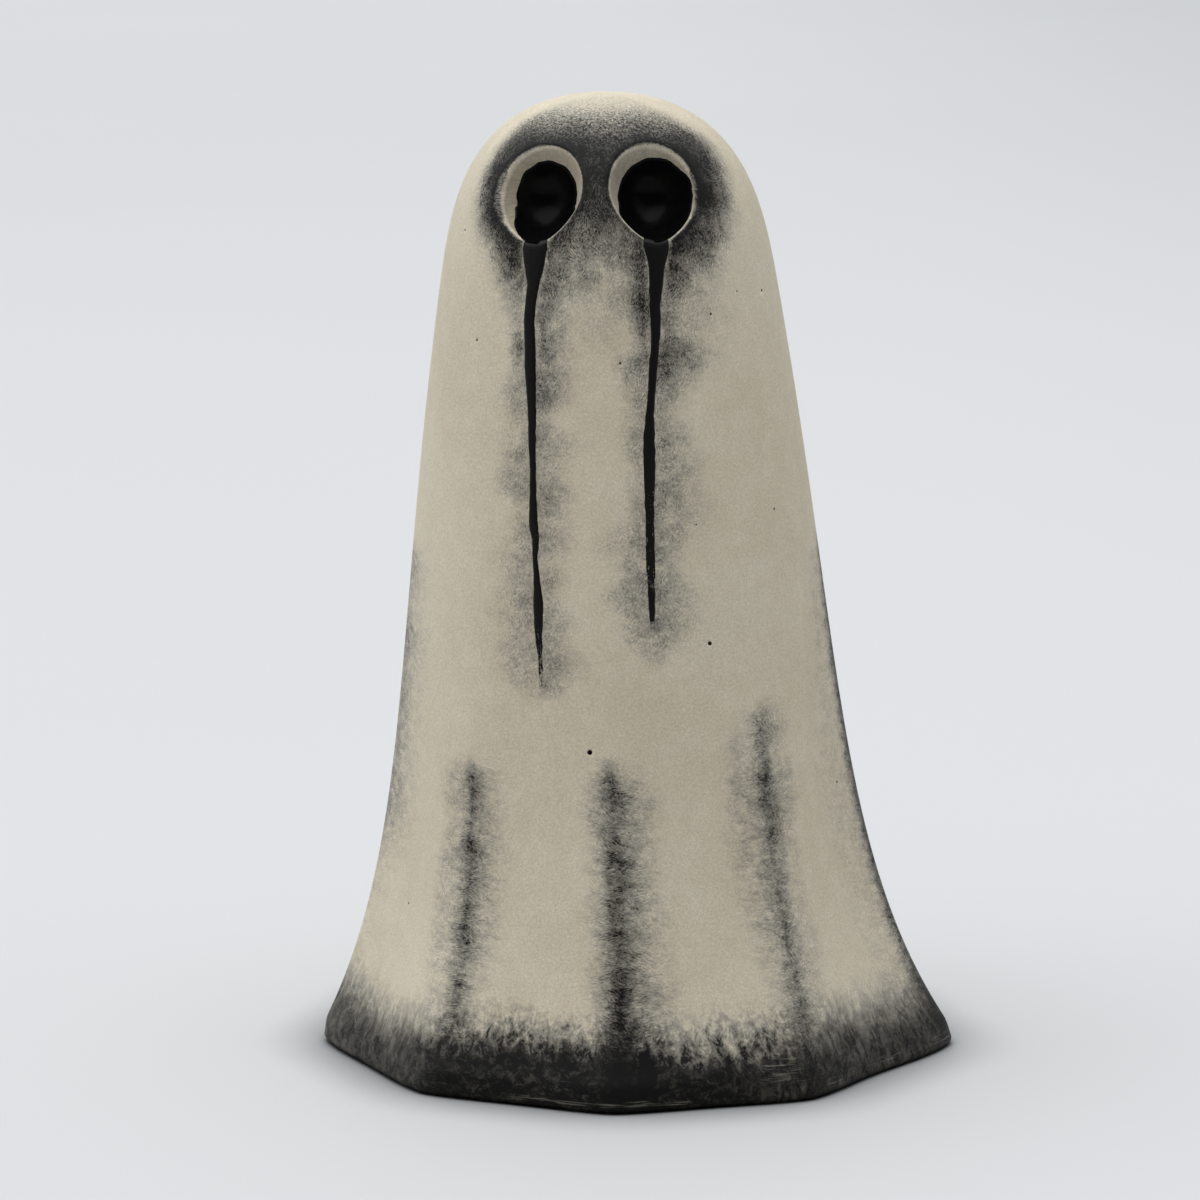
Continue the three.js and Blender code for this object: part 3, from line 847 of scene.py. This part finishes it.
def dripDensity(degrees, z):
    middle = drip["turn"] + drip["sway"] * np.sin(z * drip["swayRate"])
    across = np.abs(degrees - middle) / drip["halfWidth"]
    top = drip["top"] - drip["shoulder"] * np.clip(across, 0, 1) ** 3
    return fading(across, drip["core"], drip["sideFade"]) * softStep((top - z) / drip["topFade"])


def rubDensity(degrees, z):
    turn = np.where(degrees < brush["seam"], degrees + 360.0, degrees)
    endFade, lowFade, highFade = 3.0, 0.4, 0.5
    total = np.zeros_like(z)
    for first, last, low, high, strength in rubs:
        along = softStep((turn - first) / endFade) * softStep((last - turn) / endFade)
        up = softStep((z - low) / lowFade) * softStep((high - z) / highFade)
        total = np.maximum(total, strength * along * up)
    return total


def setFloats(mesh, name, values):
    held = mesh.attributes.get(name) or mesh.attributes.new(name, "FLOAT", "POINT")
    held.data.foreach_set("value", np.asarray(values, np.float32))


def cornerPoints(mesh):
    # The point at each corner of each face
    corners = np.zeros(len(mesh.loops), int)
    mesh.loops.foreach_get("vertex_index", corners)
    return corners


def setMap(mesh, name, across, up):
    # UV map from a place for each corner
    held = mesh.uv_layers.new(name=name)
    held.data.foreach_set("uv", np.stack([across, up], -1).astype(np.float32).ravel())


# Degrees from the map's left edge to the middle of the front; its seam lies 23 degrees off the back ridge
mapStart = 203.0


def setSkinMap(mesh, degrees, z):
    # UV map: turn across and height up, with no smear at the seam behind
    corners = cornerPoints(mesh)
    starts = np.zeros(len(mesh.polygons), int)
    counts = np.zeros(len(mesh.polygons), int)
    mesh.polygons.foreach_get("loop_start", starts)
    mesh.polygons.foreach_get("loop_total", counts)
    face = np.repeat(np.arange(len(starts)), counts)
    turn = ((degrees + mapStart) % 360.0)[corners]
    widest = np.zeros(len(starts))
    np.maximum.at(widest, face, turn)
    turn = np.where(widest[face] - turn > 180.0, turn + 360.0, turn)
    setMap(mesh, "skinMap", turn / 360.0, z[corners] / ghost["height"])


# Which points count as which surface, by height and by depth under the skin, in millimetres
footRim = {
    "height": 1.25, "under": 1.35, "crown": 3.0, "bareHeight": 0.6, "bareUnder": 1.2,
    "insideFrom": 4.0, "insideFade": 0.6,
}
# the socket walls that carry the painted shade, and the black on their outer side
wallZone = {
    "wide": 7.6, "tall": 8.8, "spare": 0.3, "from": 0.05, "to": 11.0,
    "rimFade": 1.4, "rimExtra": 0.14, "outerFrom": 5.6, "outer": 0.8,
}


def paintShell(mesh):
    flat = np.zeros(len(mesh.vertices) * 3)
    mesh.vertices.foreach_get("co", flat)
    points = flat.reshape(-1, 3) / mm
    degrees, z, under = whereOnSkin(points)
    outside = fading(under, 0.12, 0.3)
    outside = np.where((z < footRim["height"]) & (under < footRim["under"]), 1.0, outside)
    outside = np.where(z > ghost["height"] - footRim["crown"], 1.0, outside)
    halo = haloDensity(degrees, z, points) * outside
    for side in (-1, 1):
        # the bare band of wall above each coat is darkened grey as painted shade in the socket, a little more
        # towards the rim, and the outer rim black
        x, y, d = bowlFrame(side, points)
        within = np.hypot(x / wallZone["wide"], d / wallZone["tall"]) < 1.0
        within &= (y > -bowl["depth"] - wallZone["spare"])
        within &= (under > wallZone["from"]) & (under < wallZone["to"])
        rim = np.exp(-np.maximum(under - 0.1, 0) / wallZone["rimFade"])
        socketShade = bowl["brushed"][side] * (1.0 - wallZone["rimExtra"] + wallZone["rimExtra"] * rim)
        halo = np.where(within, np.maximum(halo, socketShade), halo)
        outer = within & (side * x > wallZone["outerFrom"])
        halo = np.maximum(halo, np.where(outer, wallZone["outer"] * fading(under, 0.35, 0.5), 0.0))
    setFloats(mesh, "haloInkAndSocketShade", halo)
    setFloats(mesh, "strokeInk", strokeDensity(degrees, z) * outside)
    setFloats(mesh, "hemInk", hemDensity(degrees, z) * outside)
    setFloats(mesh, "dripInk", dripDensity(degrees, z) * outside)
    setFloats(mesh, "rub", rubDensity(degrees, z) * outside)
    bare = np.where((z < footRim["bareHeight"]) & (under > footRim["bareUnder"]), 1.0, 0.0)
    bare = np.maximum(bare, softStep((under - footRim["insideFrom"]) / footRim["insideFade"]))
    setFloats(mesh, "bareClay", bare)
    setSkinMap(mesh, degrees, z)


# Finishes

clay = {
    "cream": colour(0.60, 0.545, 0.425), "warm": colour(0.572, 0.508, 0.388),
    "pale": colour(0.66, 0.61, 0.50), "bare": colour(0.62, 0.55, 0.45),
    "ink": colour(0.0042, 0.0041, 0.004), "dusty": colour(0.535, 0.52, 0.468),
    "roughness": 0.52,
}


def clayColour(board, place):
    # Cream body colour with slow drifts of tone and a fine sandy grain; place is in millimetres
    drift = board.noiseOf(place, 0.045, 3.0)
    cloud = board.noiseOf(place, 0.33, 3.0, 0.6)
    grain = board.noiseOf(place, 3.4, 2.0, 0.7)
    base = board.blend(board.step(drift, 0.38, 0.64), clay["warm"], clay["cream"])
    base = board.blend(board.step(cloud, 0.4, 0.75) * 0.4, base, clay["pale"])
    speck = board.step(grain, 0.25, 0.75, 0.84, 1.12)
    return board.scaled(base, speck), grain


# The brushed marks over the cream body: lengths in millimetres, angles in degrees
marks = {
    # bristle marks: lean, thickness, length, seed
    "haloHairs": [(-82, 0.19, 0.62, 2.0), (-40, 0.19, 0.55, 7.0), (55, 0.19, 0.55, 5.0)],
    "faceHairs": [(8, 0.19, 0.7, 4.0), (-28, 0.19, 0.6, 9.0)],
    "strokeHairs": [(-28, 0.2, 0.6, 11.0), (-62, 0.2, 0.6, 15.0), (15, 0.2, 0.55, 13.0)],
    "hemHairs": [(-68, 0.24, 1.0, 21.0), (66, 0.24, 1.0, 23.0)],
    "streaks": (-20, 0.8, 2.2, 17.0, 2.0, 0.5),  # with the noise's detail and roughness
    "curl": 0.5, "hemCurl": 0.6, "tuft": (0.9, 2.6), "rubbedLine": (3.2, 0.17),
    # how sharply the marks stand out from each other
    "haloContrast": 4.6, "strokeContrast": 4.2, "hemContrast": 4.8, "hemSideDrop": 2.2, "fullCover": 1.02,
    "turnLength": 175.0,  # what a full turn measures in the marks
    "front": 0.564,  # the middle of the front, as a share of the map's width
    "faceFrom": (129.0, 134.0), "browFrom": (141.0, 143.0), "crownFrom": (141.0, 146.0),  # heights
    "besideNose": (0.02, 0.035), "hemSides": (0.09, 0.12),  # shares of a turn away from the front
    "dustiness": 0.5, "bump": 0.2, "bumpDepth": 0.00014, "specular": 0.14,
}


def creamCeramic():
    material, board = newMaterial("creamCeramic")
    place = board.millimetres()
    body, grain = clayColour(board, place)
    skin = board.onMap("skinMap")
    across, up = skin * marks["turnLength"], skin.output("Y") * ghost["height"]
    flat = board.vector(across, up, 0.0)
    fromFront = abs(skin - marks["front"])

    def bristles(turn, thin, long, seed, detail=3.0, roughness=0.7, curl=0.0):
        # Noise drawn out along one direction: turn is the lean of the bristle marks in degrees
        c, s = math.cos(math.radians(turn)), math.sin(math.radians(turn))
        along = across * c + up * s
        over = up * c - across * s
        return board.noiseOf(board.vector(along / long, over / thin, seed), 1.0, detail, roughness, curl)

    def either(share, first, second):
        return first * (1.0 - share) + second * share

    def crossed(hairs, curl):
        # Marks of two or three leans, each in its own patches
        laid = [bristles(*hair, curl=curl) for hair in hairs]
        pair = either(patch, laid[0], laid[1])
        return either(patchTwo, pair, laid[2]) if len(laid) == 3 else pair

    def inkOf(density, pattern, contrast):
        # The black covers a share of the surface equal to the density, unevenly where it is half covered
        swing = (density * (1.0 - density) * 4.0).clamped() ** 0.5
        return (density * marks["fullCover"] + (pattern - 0.5) * contrast * swing).clamped()

    mottle = board.noiseOf(flat, 0.45, 3.0, 0.6)
    patch = board.step(board.noiseOf(flat, 0.3, 1.0, 0.5), 0.4, 0.6)
    patchTwo = board.step(board.noiseOf(board.vector(across, up, 40.0), 0.35, 1.0, 0.5), 0.4, 0.6)
    soft = board.noiseOf(flat, 1.1, 2.0, 0.6)
    fleck = board.noiseOf(flat, 3.1, 2.0, 0.7)
    lumps = board.noiseOf(flat, 0.24, 3.0, 0.6, 0.6)
    blots = board.noiseOf(flat, 0.8, 4.0, 0.65, 0.7)

    # haloes: fine upright marks, near-level on the forehead and temples, upright between the eyes
    beside = board.step(up, *marks["faceFrom"]) * board.step(fromFront, *marks["besideNose"])
    levelShare = beside.atLeast(board.step(up, *marks["browFrom"]))
    upright, level = crossed(marks["haloHairs"], marks["curl"]), crossed(marks["faceHairs"], marks["curl"])
    haloMarks = (either(levelShare, upright, level) * 0.44 + fleck * 0.14 + soft * 0.1 + mottle * 0.12
                 + lumps * 0.2)
    # over the crown, where the marks would run together into rays, only grain is left
    speckle = board.noiseOf(place, 2.9, 3.0, 0.7)
    haloMarks = either(board.step(up, *marks["crownFrom"]), haloMarks, speckle * 0.56 + 0.22)
    haloInkAndSocketShade = inkOf(board.attribute("haloInkAndSocketShade"), haloMarks, marks["haloContrast"])

    # ridge strokes: marks that fall away to the right
    falling = crossed(marks["strokeHairs"], marks["curl"])
    streaks = bristles(*marks["streaks"])
    strokeMarks = falling * 0.4 + fleck * 0.14 + soft * 0.12 + streaks * 0.12 + mottle * 0.22
    strokeInk = inkOf(board.attribute("strokeInk"), strokeMarks, marks["strokeContrast"])

    # hem: tufts that stand up into the cream, softer at the sides and behind
    aside = board.step(fromFront, *marks["hemSides"])
    hemHairs = crossed(marks["hemHairs"], marks["hemCurl"])
    tuftWide, tuftTall = marks["tuft"]
    tufts = board.noiseOf(board.vector(across / tuftWide, up / tuftTall, 25.0), 1.0, 3.0, 0.6, 0.8)
    hemMarks = hemHairs * 0.26 + tufts * 0.42 + blots * 0.26 + fleck * 0.06
    scuffs = board.step(blots * 0.6 + hemHairs * 0.4, 0.47, 0.62)
    hemInk = inkOf(board.attribute("hemInk"), hemMarks, marks["hemContrast"] - aside * marks["hemSideDrop"])
    hemInk = hemInk * (1.0 - scuffs * (0.06 + aside * 0.05))

    # the haloes' share also holds the painted shade on the socket walls
    ink = (1.0 - (1.0 - haloInkAndSocketShade) * (1.0 - strokeInk) * (1.0 - hemInk)).clamped()
    drop = board.attribute("dripInk")
    ink = ink.atLeast(board.step(drop + (blots - 0.5) * 1.6 * board.step(drop, 0.0, 0.1), 0.35, 0.65))
    # pale rubbed lines through the black of the hem
    lineLong, lineThin = marks["rubbedLine"]
    lines = board.noiseOf(board.vector(across / lineLong, up / lineThin, 31.0), 1.0, 3.0, 0.6)
    rubbed = board.step(lines + board.attribute("rub") * 0.26, 0.66, 0.78)
    ink = ink * (1.0 - rubbed * (0.1 + mottle * 0.2))

    bare = board.attribute("bareClay")
    painted = board.blend(bare, body, clay["bare"])
    painted = board.blend(board.step(ink, 0.0, 0.6) * marks["dustiness"], painted, clay["dusty"])
    painted = board.blend(ink, painted, clay["ink"])
    rough = clay["roughness"] + grain * 0.12 + bare * 0.25 - ink * 0.08
    height = grain * 0.35 + mottle * 0.4 - ink * 0.25
    bump = board.bump(marks["bump"], marks["bumpDepth"], height)
    finishMaterial(board, {
        "Base Color": painted, "Roughness": rough, "Normal": bump, "Specular IOR Level": marks["specular"]})
    return material


def pinholeShade():
    material, board = newMaterial("pinholeShade")
    # painted shade: the pits' walls are near-black, for the shade inside each pinhole
    dust = board.noiseOf(board.millimetres(), 4.0, 2.0)
    tone = board.blend(dust, colour(0.03, 0.026, 0.02), colour(0.07, 0.06, 0.045))
    finishMaterial(board, {"Base Color": tone, "Roughness": 0.8 + dust * 0.15})
    return material


def glossBlackCoat():
    material, board = newMaterial("glossBlackCoat")
    place = board.millimetres()
    pool = board.noiseOf(place, 0.5, 2.0)
    dust = board.step(board.noiseOf(place, 5.0, 2.0, 0.7), 0.66, 0.8)
    tone = board.blend(pool, colour(0.0022, 0.0022, 0.0024), colour(0.0045, 0.0045, 0.0046))
    tone = board.blend(dust * 0.12, tone, colour(0.05, 0.05, 0.05))
    finishMaterial(board, {"Base Color": tone, "Roughness": 0.17 + pool * 0.1 + dust * 0.1,
                           "Normal": board.bump(0.25, 0.0002, pool), "Specular IOR Level": 0.055})
    return material


def tearEnamel():
    material, board = newMaterial("tearEnamel")
    across = board.onMap("runMap")
    along = across.output("Y")
    dry = board.attribute("dryness")
    streak = board.noiseOf(board.vector(across * 4.5, along * 0.5, 3.0), 1.0, 2.0, 0.55)
    crumb = board.noiseOf(board.vector(across * 6.0, along * 2.6, 9.0), 1.0, 2.0, 0.6)
    cover = board.step(0.5 + (streak - 0.5) * 1.5 + (crumb - 0.5) * 1.1 + (0.62 - dry * 1.05), 0.44, 0.56)
    grain = board.noiseOf(board.millimetres(), 2.2, 3.0, 0.65)
    tone = board.blend(grain, colour(0.0026, 0.0025, 0.0024), colour(0.0054, 0.0052, 0.005))
    bump = board.bump(0.3, 0.00015, grain + streak * 0.5)
    finishMaterial(board, {"Base Color": tone, "Roughness": 0.34 + grain * 0.16 + dry * 0.15, "Alpha": cover,
                           "Normal": bump, "Specular IOR Level": 0.15})
    return material


print("building shell")
shellMaterial = creamCeramic()
pitMaterial = pinholeShade()
height, wall = ghost["height"], ghost["wall"]
crownTop = [-ghost["lean"] - ghost["middleX"], -ghost["middleY"], height]
insideTop = [-ghost["lean"] - ghost["middleX"], -ghost["middleY"], height - wall]
shell = ringMesh("ghostShell", shellRings(), crownTop, insideTop)
turnOutward(shell)
shell.data.materials.append(shellMaterial)
cutters = [bowlCutter(-1), bowlCutter(1), pinholePits(pitMaterial)]
for cutter in cutters:
    if not cutter.data.materials:
        cutter.data.materials.append(shellMaterial)
    cut = shell.modifiers.new("cut", "BOOLEAN")
    cut.operation = "DIFFERENCE"
    cut.solver = "EXACT"
    cut.material_mode = "TRANSFER"
    cut.object = cutter
settle(shell)
for cutter in cutters:
    bpy.data.objects.remove(cutter)
shell.data.shade_smooth()
paintShell(shell.data)
print("shell", len(shell.data.vertices), "points")


# Enamel: a tree that swells a thin coat out from the surface that it lies on

coat = {
    "thickness": 0.22, "sink": 0.04, "edgeRound": 0.5, "fullness": 2.0, "rows": 44, "clocks": 160,
    "wobble": 0.16, "wave": 1.6, "waves": 4, "fine": 0.35, "fines": 14, "crowding": 1.7,
    "meanRadius": 7.5,  # of the bowl, which turns an angle into a length on its wall
    # clock, how far the black stops below the rim's plane
    "left": [
        (0, 4.0), (30, 4.1), (60, 5.1), (90, 6.2), (115, 5.4), (140, 3.3), (160, 1.6), (180, 0.9),
        (200, 1.6), (220, 3.6), (245, 5.8), (270, 6.4), (300, 5.6), (330, 4.5),
    ],
    "right": [
        (0, 3.7), (22, 3.6), (36, 3.7), (46, 3.8), (56, 3.6), (64, 3.3), (74, 3.4), (80, 3.9),
        (86, 3.7), (98, 4.0), (112, 3.6), (128, 3.1), (140, 2.5), (160, 1.5), (180, 0.9),
        (200, 1.6), (220, 3.4), (245, 4.9), (270, 5.4), (300, 4.9), (330, 4.1),
    ],
}


def swellTree():
    board = GeometryBoard("enamelSwell", {
        "Thickness": "NodeSocketFloat", "Sink": "NodeSocketFloat", "Edge fullness": "NodeSocketFloat",
        "Material": "NodeSocketMaterial"})
    normal = board.add("GeometryNodeInputNormal")
    edge = board.named("edge")
    crown = 1.0 - edge ** board.given("Edge fullness")
    sink = board.given("Sink")
    lift = (board.given("Thickness") * board.named("body") + sink) * crown - sink
    front = board.add("GeometryNodeSetPosition", {}, {
        "Geometry": board.given("Geometry"), "Offset": board.scaled(normal, lift)})
    back = board.add("GeometryNodeSetPosition", {}, {
        "Geometry": board.given("Geometry"), "Offset": board.scaled(normal, sink * -1.0)})
    back = board.add("GeometryNodeFlipFaces", {}, {"Mesh": back})
    both = board.tree.nodes.new("GeometryNodeJoinGeometry")
    board.tree.links.new(front.socket, both.inputs[0])
    board.tree.links.new(back.socket, both.inputs[0])
    merged = board.add("GeometryNodeMergeByDistance", {}, {
        "Geometry": Wire(board.tree, both.outputs[0]), "Distance": 1e-6})
    smooth = board.add("GeometryNodeSetShadeSmooth", {}, {"Geometry": merged})
    board.close(smooth)
    return board


def eyeCoat(name, side, material, tree):
    clock = np.radians(np.arange(coat["clocks"]) * 360.0 / coat["clocks"])
    rows = coat["left" if side < 0 else "right"]
    depth = rowsAt(rows + [(360, rows[0][1])], np.degrees(clock))[0]
    wave, fine = (
        np.array([noise.noise(Vector((size * math.cos(c), size * math.sin(c), side * seed))) for c in clock])
        for size, seed in ((coat["waves"], 3.0), (coat["fines"], 5.0)))
    depth = depth + coat["wobble"] * (wave * coat["wave"] + fine * coat["fine"])
    last = np.arccos(np.clip(depth / bowl["depth"], 0, 1))
    rings, edge = [], []
    for i in range(1, coat["rows"] + 1):
        share = 1.0 - (1.0 - i / coat["rows"]) ** coat["crowding"]
        turn = last * share
        rings.append(eggPlace(side, clock, bowl["halfWidth"] * np.sin(turn), -bowl["depth"] * np.cos(turn)))
        away = (last - turn) * coat["meanRadius"]
        edge.append(np.clip(1.0 - away / coat["edgeRound"], 0.0, 1.0))
    origin, _, out, _ = bowlAxes(side)
    piece = ringMesh(name, rings, origin - bowl["depth"] * out)
    mesh = piece.data
    facing = mesh.polygons[0].normal @ Vector(out)
    if facing < 0:
        mesh.flip_normals()
    setFloats(mesh, "edge", np.append(np.array(edge).ravel(), 0.0))
    setFloats(mesh, "body", np.ones(len(mesh.vertices)))
    runTree(piece, tree, {
        "Thickness": coat["thickness"] * mm, "Sink": coat["sink"] * mm, "Edge fullness": coat["fullness"],
        "Material": material})
    return piece


run = {
    "thickness": 0.24, "sink": 0.05, "fullness": 3.0, "columns": 15, "step": 0.4, "wobble": 0.09,
    "lipRows": 9, "lipDepth": 1.4, "lipHalfClock": 21.0, "widen": 1.07, "widenBy": 0.04, "endRound": 0.5,
    "join": 3.4,  # height over which the run finds its own edges below the lip
    # height, how dry the enamel is there
    "leftDry": [
        (130, 0.0), (87, 0.05), (84, 0.35), (81, 0.3), (78, 0.05), (72, 0.1), (70, 0.4), (67, 0.5),
        (64, 0.66), (60, 0.9),
    ],
    "rightDry": [
        (130, 0.0), (95, 0.05), (92.5, 0.3), (89, 0.38), (84, 0.32), (80, 0.4), (77.5, 0.55),
        (75.8, 0.2), (73.6, 0.2), (72, 0.75), (69, 0.95),
    ],
}


def tearRun(name, side, material, tree):
    rows = tears["left" if side < 0 else "right"]
    across = np.linspace(-1.0, 1.0, run["columns"])
    # over the lip: out of the bowl, round its rim and on to the skin
    clock = np.radians(180.0) - across * math.radians(run["lipHalfClock"])
    centre = rimRound(side, clock, 0.0)[0]
    base = wallRadius(centre)
    rings = []
    for depth in np.linspace(run["lipDepth"], 0.1, 5):
        outward = centre - depth
        rings.append(eggPlace(side, clock, wallRadius(outward), outward))
    for i in range(run["lipRows"] + 1):
        _, beyond, outward, _ = rimRound(side, clock, i / run["lipRows"])
        rings.append(eggPlace(side, clock, base, outward, beyond))
    startTurn, startZ, _ = whereOnSkin(rings[-1])
    low = min(row[0] for row in rows)
    top = float(startZ[run["columns"] // 2])
    for z in np.arange(top - run["step"], low, -run["step"]):
        first, last = rowsAt(rows, z)
        wander = 0.6 * run["wobble"] * noise.noise(Vector((side * 7.0, 0.0, z * 0.9)))
        leftEdge, rightEdge = (
            edge + run["wobble"] * 2.2 * noise.noise(Vector((side * 3.0, seed, z * 0.75))) + wander
            for edge, seed in ((first, 5.0), (last, 9.0)))
        half = (rightEdge - leftEdge) / 2 * run["widen"] + run["widenBy"]
        turn = (leftEdge + rightEdge) / 2 + across * half
        ease = float(softStep(np.array((top - z) / run["join"])))
        height = startZ + (z - top)
        rings.append(skinAt(startTurn * (1 - ease) + turn * ease, height * (1 - ease) + z * ease))
    rings = np.array(rings)
    piece = ringMesh(name, rings, closed=False)
    mesh = piece.data
    if mesh.polygons[-1].normal.y > 0:
        mesh.flip_normals()
    count, width = rings.shape[:2]
    travel = np.concatenate([[0.0], np.cumsum(np.linalg.norm(np.diff(rings[:, width // 2], axis=0), axis=1))])
    ends = np.minimum(travel, travel[-1] - travel)
    closing = np.clip(1.0 - ends / run["endRound"], 0, 1)
    edge = np.maximum(np.abs(across)[None, :] ** 1.2, closing[:, None])
    setFloats(mesh, "edge", edge.ravel())
    dry = rowsAt(run["leftDry" if side < 0 else "rightDry"], rings[:, width // 2, 2])[0]
    setFloats(mesh, "dryness", np.repeat(dry, width))
    setFloats(mesh, "body", np.repeat(np.clip(1.05 - dry, 0.18, 1.0), width))
    corners = cornerPoints(mesh)
    setMap(mesh, "runMap", np.tile(across / 2 + 0.5, count)[corners], np.repeat(travel, width)[corners])
    runTree(piece, tree, {
        "Thickness": run["thickness"] * mm, "Sink": run["sink"] * mm, "Edge fullness": run["fullness"],
        "Material": material})
    return piece


print("building enamel")
coatMaterial, runMaterial = glossBlackCoat(), tearEnamel()
swell = swellTree()
leftCoat = eyeCoat("leftEyeCoat", -1, coatMaterial, swell)
rightCoat = eyeCoat("rightEyeCoat", 1, coatMaterial, swell)
leftTear = tearRun("leftTear", -1, runMaterial, swell)
rightTear = tearRun("rightTear", 1, runMaterial, swell)

pieces = [
    (shell, "ghost_shell", "cream_ceramic"), (leftCoat, "left_eye_lining", "gloss_black_enamel"),
    (rightCoat, "right_eye_lining", "gloss_black_enamel"), (leftTear, "left_tear_run", "black_tear_enamel"),
    (rightTear, "right_tear_run", "black_tear_enamel"),
]
for piece, node, slotName in pieces:
    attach(piece, "root")
    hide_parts(node)
print("pieces in place")


# Floor, light and camera

studio = {
    "floorSize": 24.0, "contactShadowReach": 0.012,
    "cameraPlace": (0.0419, -0.7989, 0.2073), "pitch": 9.72, "heading": 3.449, "lens": 154.77,
    "dome": 0.085, "domeRise": 1.68, "leftBias": 0.19, "behind": 0.1, "sunStrength": 1.12, "sunSpread": 80.0,
    "sunTurn": -48.0, "sunHeight": 72.6,
}


def floor():
    half = studio["floorSize"] / 2
    corners = [(-half, -half, 0), (half, -half, 0), (half, half, 0), (-half, half, 0)]
    piece = newPiece("tableTop", corners, [(0, 1, 2, 3)])
    material, board = newMaterial("tableTop")
    place = board.add("ShaderNodeTexCoord", {}, {}, "Object")
    cast = board.noiseOf(place, 3.0, 2.0)
    spot = board.apart(place)
    away = spot.output("Y")
    # painted shade: the table's colour darkens far behind the object and towards the right
    far = board.step(away, 0.1, 2.0) * 0.24 + board.step(spot + away * 0.12, 0.1, 0.75) * 0.45
    paper = board.blend(cast, colour(0.508, 0.517, 0.525), colour(0.525, 0.531, 0.538))
    paper = board.blend(far, paper, colour(0.34, 0.35, 0.353))
    # painted contact shadow: ambient occlusion darkens the table's colour right beside the foot
    close = board.add("ShaderNodeAmbientOcclusion", {"samples": 16}, {
        "Color": colour(1, 1, 1), "Distance": studio["contactShadowReach"]}, "AO")
    paper = board.blend(close ** 1.8, colour(0.02, 0.02, 0.021), paper)
    finishMaterial(board, {"Base Color": paper, "Roughness": 0.66})
    piece.data.materials.append(material)


def lightTent():
    world = bpy.data.worlds.new("lightTent")
    bpy.context.scene.world = world
    world.use_nodes = True
    world.node_tree.nodes.clear()
    board = Board(world.node_tree)
    way = board.apart(board.add("ShaderNodeTexCoord", {}, {}, "Generated"))
    side, ahead, up = way, way.output("Y"), way.output("Z")
    # the tent is bright above, to the left and behind, and open towards the camera
    front = board.step(ahead * -1.0, 0.25, 0.8) * (1.0 - board.step(up, 0.53, 0.96))
    level = studio["dome"] + up * studio["domeRise"] - side * studio["leftBias"]
    level = level + board.step(ahead, 0.0, 0.8) * studio["behind"]
    level = level.atLeast(0.03) * (1.0 - front * 0.97)
    tint = board.blend(front, colour(0.985, 1.0, 1.02), colour(1.0, 0.96, 0.9))
    shade = board.add("ShaderNodeBackground", {}, {"Color": tint, "Strength": level})
    board.add("ShaderNodeOutputWorld", {}, {"Surface": shade})


def sun(name, strength, spread, turn, height):
    lamp = bpy.data.lights.new(name, "SUN")
    lamp.energy = strength
    lamp.angle = math.radians(spread)
    piece = bpy.data.objects.new(name, lamp)
    bpy.context.scene.collection.objects.link(piece)
    turn, height = math.radians(turn), math.radians(height)
    aim = Vector((math.sin(turn) * math.cos(height), -math.cos(turn) * math.cos(height), math.sin(height)))
    piece.rotation_euler = aim.to_track_quat("Z", "Y").to_euler()


floor()
lightTent()
sun("topLight", studio["sunStrength"], studio["sunSpread"], studio["sunTurn"], studio["sunHeight"])
lens = bpy.data.cameras.new("camera")
lens.lens = studio["lens"]
lens.sensor_width = 36.0
lens.clip_start, lens.clip_end = 0.05, 60.0
camera = bpy.data.objects.new("camera", lens)
bpy.context.scene.collection.objects.link(camera)
camera.location = studio["cameraPlace"]
camera.rotation_euler = (math.radians(90 - studio["pitch"]), 0.0, math.radians(studio["heading"]))
bpy.context.scene.camera = camera
bpy.context.scene.view_settings.view_transform = "Standard"
bpy.context.scene.view_settings.look = "None"

print("ready")
